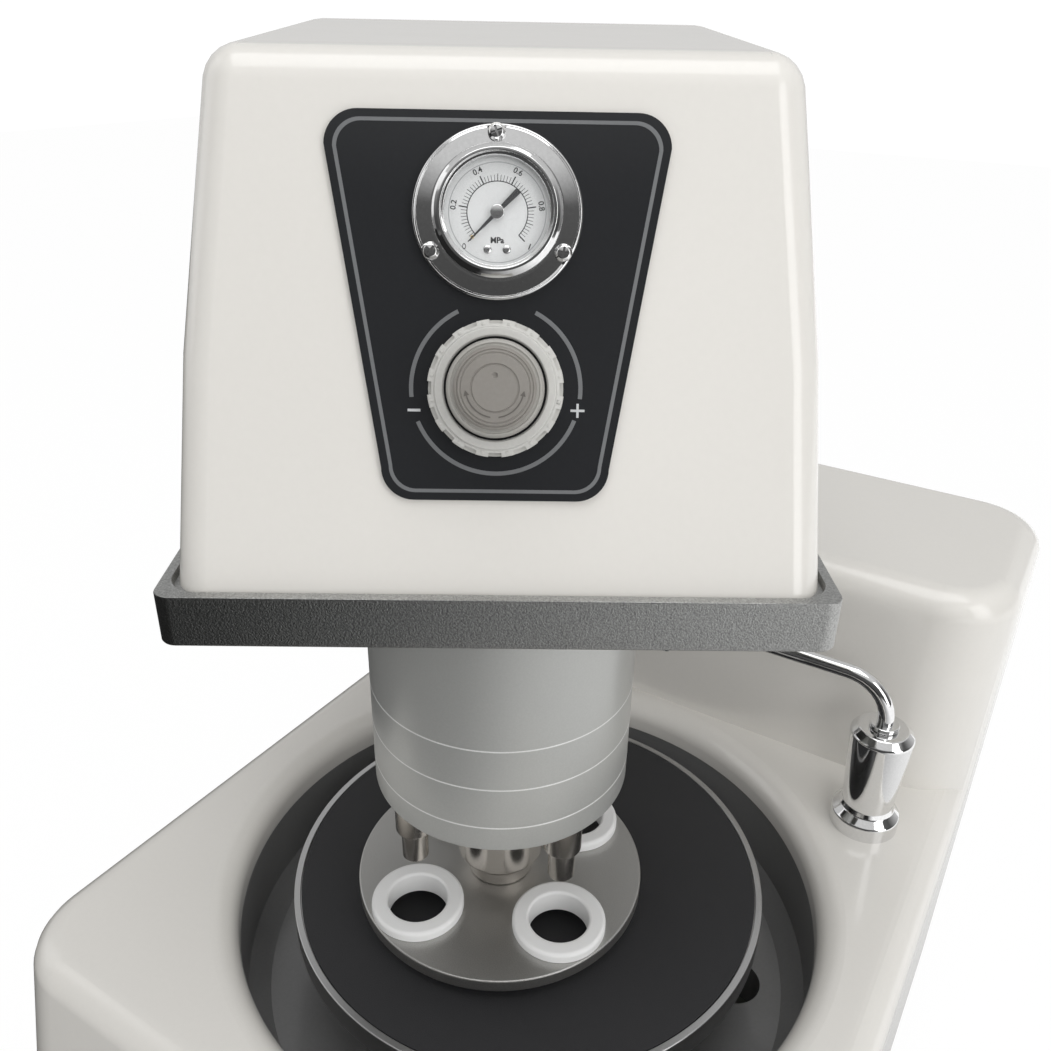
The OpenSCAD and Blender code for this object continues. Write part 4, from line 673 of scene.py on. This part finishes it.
case = turned("case_piece", [
    (0, case_low, 0), (case_r, case_low, 1), (case_r, bezel_low, 0), (bezel_r, bezel_low, 0.2),
    (bezel_r, 7.4, 0.5), (20.3, 8.2, 0.3), (19.3, bezel_top, 0.4), (18.3, bezel_top, 0.3), (18.2, 8.2, 0.2),
    (17.3, 8.0, 0.2), (17.1, bezel_seat, 0), (case_bore_r, bezel_seat, 0),
    (case_bore_r, case_low + case_wall, 0), (0, case_low + case_wall, 0)], gauge_frame, 160)
seat(case, "head", "chrome", chrome, "gauge_case")
lens = plug("lens_piece", lens_r, lens_low, lens_top, gauge_frame, 96)
lens_clear = finish_of("lens_clear", (0.96, 0.97, 0.97), rough=0.03, smudge=0.02, fine=500, bump=0.01)
lens_clear.node_tree.nodes["Principled BSDF"].inputs["Alpha"].default_value = 0.025
seat(lens, "head", "clear_lens", lens_clear, "gauge_lens")

# Dial. A white painted disc, riveted to the case, is printed with a 0 to 1 scale of fifty parts, its
# figures and unit, and a fine ring. A brass pin stops the needle at zero.
dial_low, dial_top, axle_hole_r, ink_depth = 2.8, 3.6, 0.9, 0.02
dial = turned("dial_piece", [(axle_hole_r, dial_low, 0), (lens_r, dial_low, 0), (lens_r, dial_top, 0),
                             (axle_hole_r, dial_top, 0)], gauge_frame)
dial_white = finish_of("dial_white", (0.72, 0.73, 0.73), rough=0.45, smudge=0.05, bump=0.04)
seat(dial, "head", "dial_white", dial_white, "gauge_dial")
dial_ink = finish_of("dial_ink", (0.012, 0.012, 0.014), rough=0.5, smudge=0.05, bump=0.04)
scale_r, scale_start, scale_sweep, scale_parts = 10, 225, 270, 50
marks = [ring_part(scale_r - 0.25, scale_r + 0.05, scale_start - scale_sweep, scale_start, 90)]
for k in range(scale_parts + 1):
    angle = scale_start - scale_sweep * k / scale_parts
    end, half = (12.7, 0.2) if k % 10 == 0 else (12.2, 0.11) if k % 5 == 0 else (11.9, 0.08)
    marks.append([polar(d, angle) + polar(w, angle + 90) for d, w in (
        (scale_r, -half), (end, -half), (end, half), (scale_r, half))])
zero_at, one_at, lean = polar(15.2, 225), polar(15, -45), Matrix.Rotation(math.radians(-20), 2)
marks += [[zero_at + Vector((p.x * 0.62, p.y * 0.95)) for p in ring_part(0.66, 1.0, start, start + 180)]
          for start in (0, 180)]
marks.append([one_at + lean @ Vector(p) for p in ((-0.2, -0.95), (0.2, -0.95), (0.2, 0.95), (-0.2, 0.95))])
seat(prisms("dial_scale", marks, dial_top - ink_depth, dial_top + 0.05, gauge_frame), "head", "dial_white",
     dial_ink)
ring = [ring_part(15.7, 15.95, start, start + 180, 60) for start in (0, 180)]
dial_line = finish_of("dial_line", (0.38, 0.39, 0.4), rough=0.5, smudge=0.05, bump=0.04)
seat(prisms("dial_ring", ring, dial_top - ink_depth, dial_top + 0.04, gauge_frame), "head", "dial_white",
     dial_line)
figure_size, figure_r, fifth = 2.55, 14.4, scale_sweep / 5
figures = [(f"0.{2 * k}", scale_start - fifth * k, figure_r, figure_size, 0.04, scale_start - fifth * k - 90)
           for k in (1, 2, 3, 4)]
for words, a, out, size, stroke, turn_by in figures + [("MPa", -90, 8.8, 2.6, 0.09, 0)]:
    label = bpy.data.curves.new("dial_figure", "FONT")
    label.body = words
    label.size = size * mm
    label.align_x = "CENTER"
    label.align_y = "CENTER"
    label.extrude = 0.03 * mm
    label.offset = stroke * mm
    alone(placed("dial_figure", label))
    bpy.ops.object.convert(target="MESH")
    figure = bpy.context.object
    figure.data.transform(gauge_frame @ moved(*polar(out, a), dial_top + 0.03)
                          @ Matrix.Rotation(math.radians(turn_by), 4, "Z"))
    seat(figure, "head", "dial_white", dial_ink)
pin_brass = finish_of("pin_brass", (0.75, 0.55, 0.25), metal=1, rough=0.25, slow=14)
for x, y, r, material in ((-3.15, -11.7, 1.4, chrome), (3.15, -11.7, 1.4, chrome),
                          (-8.1, -7.8, 0.6, pin_brass)):
    stud = turned("dial_stud", [(0, 3.3, 0), (r, 3.3, 0), (r, 3.9, 0.2), (r * 0.6, 4.2, 0.1), (0, 4.3, 0)],
                  gauge_frame @ moved(x, y), 32)
    seat(stud, "head", "chrome", material)

# Needle. A stamped black hand with a broad tail is riveted to a polished axle, which carries it over
# the dial and rests at zero.
rest = gauge_frame @ Matrix.Rotation(math.radians(scale_start), 4, "Z")
edge = [(-9.6, 1), (-2.2, 0.7), (0, 0.9), (3, 0.55), (13.4, 0.1)]
hand = prisms("needle_piece", [[(x, -y) for x, y in edge] + edge[::-1]], 4.6, 5.1, rest)
axle_r, axle_low, rivet_r, rivet_low = axle_hole_r - 0.1, -8.6, 2.4, 4.2
axle = turned("axle", [(0, axle_low, 0), (axle_r, axle_low, 0), (axle_r, rivet_low, 0),
                       (rivet_r, rivet_low, 0.2), (rivet_r, 5.6, 0.4), (0, 5.7, 0)], rest, 48)
seat(hand, "gauge_needle", "black_paint", dial_ink, "gauge_needle")
seat(axle, "gauge_needle", "chrome", chrome)

# Regulator nut. A grey moulded ring nut, with shallow notches and small bumps round its skirt and a
# flat top, screws onto the body behind the face and clamps the fascia.
notches, nut_r, nut_bore_r, nut_top = 16, 22.4, 16.8, 12
ring_nut = turned("nut_piece", [
    (nut_bore_r, fascia_t, 0), (nut_r, fascia_t, 0.3), (nut_r, 9.4, 0.4), (21.9, 9.9, 0.2), (20.2, 10.3, 0.3),
    (19.7, nut_top, 0.5), (17.3, nut_top, 0.4), (nut_bore_r, 11.4, 0)], knob_frame, 160)
for k in range(notches):
    here = knob_frame @ Matrix.Rotation(math.tau * k / notches, 4, "Z")
    between = knob_frame @ Matrix.Rotation(math.tau * (k + 0.5) / notches, 4, "Z") @ moved(21.1, 0)
    combine(ring_nut, "DIFFERENCE", prisms("notch", [[(20.9, -2.1), (23, -2.3), (23, 2.3), (20.9, 2.1)]],
                                           7.4 if k % 2 else 4, nut_top, here))
    combine(ring_nut, "UNION", turned("bump", [(0, 9, 0), (0.55, 9, 0), (0.55, 10.35, 0.15), (0, 10.4, 0)],
                                      between, 16))
nut_grey = finish_of("nut_grey", (0.56, 0.555, 0.53), rough=0.38, slow=24)
seat(ring_nut, "head", "grey_plastic", nut_grey, "regulator_nut")

# Regulator knob. A warm grey moulding is pressed onto the stem: a stepped skirt and a domed cap with
# a ring line, a small dimple and two printed arrows.
stem_hole_r, skirt_r, skirt_low, skirt_top, cap_r, cap_low, cap_top = 5.1, 16, 12.3, 19.6, 13.3, 17.5, 22.4
skirt = turned("knob_skirt", [
    (stem_hole_r, skirt_low, 0), (skirt_r, skirt_low, 0.3), (15.7, 16.4, 0.3), (15.1, 16.7, 0.1),
    (15.1, 17.3, 0.1), (15.4, 17.6, 0.2), (15.2, 18.8, 0.4), (14.4, 19.3, 0.2), (14.1, 18.9, 0.1),
    (13.7, 18.9, 0.1), (13.4, skirt_top, 0), (stem_hole_r, skirt_top, 0)], knob_frame)
skirt_grey = finish_of("knob_skirt", (0.36, 0.35, 0.325), rough=0.36, slow=30, bump=0.12)
seat(skirt, "regulator_knob", "warm_grey", skirt_grey, "regulator_knob")
cap = turned("knob_cap", [
    (0, cap_low, 0), (cap_r, cap_low, 0), (cap_r, 20.2, 0.5), (12.4, 21.1, 0.2), (12.1, 20.7, 0.1),
    (11.9, 21.3, 0.1), (11.5, 21.9, 0.3), (11.2, 21.5, 0.1), (10.9, 21.5, 0.1), (10.7, 22, 0.2),
    (7.85, 22.3, 0), (7.65, 21.95, 0), (7.35, 21.95, 0), (7.15, 22.32, 0), (0, cap_top, 0)], knob_frame)
dimple = turned("dimple", [(0, 21.6, 0), (0.8, 21.9, 0), (1.1, 22.8, 0), (0, 22.8, 0)],
                knob_frame @ moved(0, 4), 32)
combine(cap, "DIFFERENCE", dimple)
warm_grey = finish_of("warm_grey", (0.25, 0.235, 0.215), rough=0.34, slow=30, bump=0.12)
seat(cap, "regulator_knob", "warm_grey", warm_grey)
mark_r = 9.15
turn_marks = [ring_part(mark_r - 0.2, mark_r + 0.2, start, end, 16)
              for start, end in ((195, 262), (278, 345))]
turn_marks += [arrow_head(mark_r, angle, way, 0.9, 1.7) for angle, way in ((195, -1), (345, 1))]
arrow_print = finish_of("arrow_print", (0.12, 0.11, 0.10), rough=0.4, smudge=0.04, fine=500, slow=10,
                        bump=0.02)
seat(prisms("knob_arrows", turn_marks, 21.95, 22.32, knob_frame), "regulator_knob", "warm_grey", arrow_print)

# Floor. A pale plane. The camera sees it near white. Glossy rays see it glow as a painted reflection, dark on
# the head's left and light on its right, and the polished and satin pieces mirror that glow.
bpy.ops.mesh.primitive_plane_add(size=12, location=(0, 0, 0))
floor = bpy.context.object
floor.name = "floor"
floor_pale = finish_of("floor_pale", (0.80, 0.80, 0.80), rough=0.6, smudge=0.05, fine=60, slow=2, bump=0.02)
floor.data.materials.append(floor_pale)
tree = floor_pale.node_tree
ray = tree.nodes.new("ShaderNodeLightPath")
share = tree.nodes.new("ShaderNodeMath")
share.operation = "MULTIPLY"
share.inputs[1].default_value = 0.95
glow = tree.nodes.new("ShaderNodeEmission")
glow.inputs["Strength"].default_value = 1.02
seen = tree.nodes.new("ShaderNodeMixShader")
# The glow that glossy rays see, darker on the head's left and lighter on its right, is a painted reflection.
where = tree.nodes.new("ShaderNodeTexCoord")
across = tree.nodes.new("ShaderNodeVectorMath")
across.operation = "DOT_PRODUCT"
across.inputs[1].default_value = head_x
fade = tree.nodes.new("ShaderNodeMapRange")
fade.inputs["From Min"].default_value = -0.35
fade.inputs["From Max"].default_value = 0.75
fade.inputs["To Min"].default_value = 0.02
fade.inputs["To Max"].default_value = 1.15
painted_reflection_glow = tree.nodes.new("ShaderNodeEmission")
either = tree.nodes.new("ShaderNodeMixShader")
for source, target in ((ray.outputs["Is Camera Ray"], share.inputs[0]),
                       (share.outputs[0], seen.inputs["Fac"]),
                       (tree.nodes["Principled BSDF"].outputs[0], seen.inputs[1]),
                       (glow.outputs[0], seen.inputs[2]),
                       (where.outputs["Object"], across.inputs[0]),
                       (across.outputs["Value"], fade.inputs["Value"]),
                       (fade.outputs["Result"], painted_reflection_glow.inputs["Color"]),
                       (ray.outputs["Is Glossy Ray"], either.inputs["Fac"]),
                       (seen.outputs[0], either.inputs[1]),
                       (painted_reflection_glow.outputs[0], either.inputs[2]),
                       (either.outputs[0], tree.nodes["Material Output"].inputs["Surface"])):
    tree.links.new(source, target)

# Surroundings. The camera sees white, and the matt pieces are lit by an even grey. The glossy ones
# mirror a studio that is dark at eye level, light overhead and light behind the head.
world = bpy.data.worlds.new("studio")
bpy.context.scene.world = world
world.use_nodes = True
tree = world.node_tree
backdrop = tree.nodes["Background"]
backdrop.inputs["Strength"].default_value = 0.82
toward = tree.nodes.new("ShaderNodeTexCoord")
parts = tree.nodes.new("ShaderNodeSeparateXYZ")
lift = tree.nodes.new("ShaderNodeMath")
lift.operation = "MULTIPLY_ADD"
lift.inputs[1].default_value = 0.5
lift.inputs[2].default_value = 0.5
studio = tree.nodes.new("ShaderNodeValToRGB")
levels = ((0.0, 0.25), (0.44, 0.25), (0.50, 0.07), (0.76, 0.12), (0.84, 0.8), (1.0, 0.95))
for k, (height, grey) in enumerate(levels):
    stop = studio.color_ramp.elements[k] if k < 2 else studio.color_ramp.elements.new(height)
    stop.position = height
    stop.color = (grey, grey, grey, 1)
behind = tree.nodes.new("ShaderNodeVectorMath")
behind.operation = "DOT_PRODUCT"
behind.inputs[1].default_value = head_y
turn_back = tree.nodes.new("ShaderNodeMapRange")
turn_back.inputs["From Min"].default_value = -0.25
turn_back.inputs["From Max"].default_value = 0.35
ray = tree.nodes.new("ShaderNodeLightPath")


def blend(factor, first, second):
    """Mixes two colours by a factor, each a socket or a plain grey."""
    mix = tree.nodes.new("ShaderNodeMix")
    mix.data_type = "RGBA"
    tree.links.new(factor, mix.inputs[0])
    for socket, value in ((mix.inputs[6], first), (mix.inputs[7], second)):
        if isinstance(value, float):
            socket.default_value = (value, value, value, 1)
        else:
            tree.links.new(value, socket)
    return mix.outputs[2]


glossy = blend(turn_back.outputs["Result"], studio.outputs["Color"], 0.72)
matt = blend(ray.outputs["Is Glossy Ray"], 0.56, glossy)
for source, target in ((toward.outputs["Generated"], parts.inputs[0]),
                       (toward.outputs["Generated"], behind.inputs[0]),
                       (behind.outputs["Value"], turn_back.inputs["Value"]),
                       (parts.outputs["Z"], lift.inputs[0]),
                       (lift.outputs[0], studio.inputs["Fac"]),
                       (blend(ray.outputs["Is Camera Ray"], matt, 1.25), backdrop.inputs["Color"])):
    tree.links.new(source, target)

# Lamps. Four soft boxes: a wide one overhead, a weak one on the left, a strong one on the right and a
# small one in front, which the polished pieces don't mirror.
for name, place, aim, power, wide, high in (
        ("light_top", (0.2, -0.3, 2.2), (0, -0.05, 0.4), 12, 1.6, 1.2),
        ("light_left", (-1.8, -0.8, 1.4), (0, -0.05, 0.4), 3, 1.0, 1.6),
        ("light_right", (1.9, -0.5, 1.1), (0, -0.05, 0.4), 12, 0.9, 1.8),
        ("light_front", (1.3, -1.7, 1.4), (0.1, 0, 0.35), 9, 0.8, 0.8)):
    lamp = bpy.data.lights.new(name, "AREA")
    lamp.shape = "RECTANGLE"
    lamp.size = wide
    lamp.size_y = high
    lamp.energy = power
    soft_box_lamp = placed(name, lamp)
    soft_box_lamp.location = place
    soft_box_lamp.visible_glossy = name != "light_front"
    soft_box_lamp.rotation_euler = (Vector(aim) - Vector(place)).to_track_quat("-Z", "Y").to_euler()

# Camera. It stands in front of the head and looks down on it, as in the photo. Its place and angles
# are measured in the head's own directions, about the drum's axis.
camera_data = bpy.data.cameras.new("camera")
camera_data.lens = 33.61
camera_data.sensor_width = 36
camera_data.shift_y = 0.00465
camera_data.clip_start = 0.01
camera = placed("camera", camera_data)
pitch, roll, yaw, head_turn = (math.radians(v) for v in (27.480, 1.1035, 0.9565, 32.5))
look = Vector((math.sin(yaw) * math.cos(pitch), math.cos(yaw) * math.cos(pitch), -math.sin(pitch)))
level = Vector((math.cos(yaw), -math.sin(yaw), 0))
above = level.cross(look)
camera_x = math.cos(roll) * level + math.sin(roll) * above
camera_y = -math.sin(roll) * level + math.cos(roll) * above
with_head = Matrix.Rotation(head_turn, 3, "Z")
spot = with_head @ Vector((0.00360, -0.38587, 0)) + Vector((-0.0068, -0.076, 0.6704))
turn = with_head @ Matrix((camera_x, camera_y, -look)).transposed()
camera.matrix_world = Matrix.Translation(spot) @ turn.to_4x4()
bpy.context.scene.camera = camera
bpy.context.scene.view_settings.view_transform = "Standard"
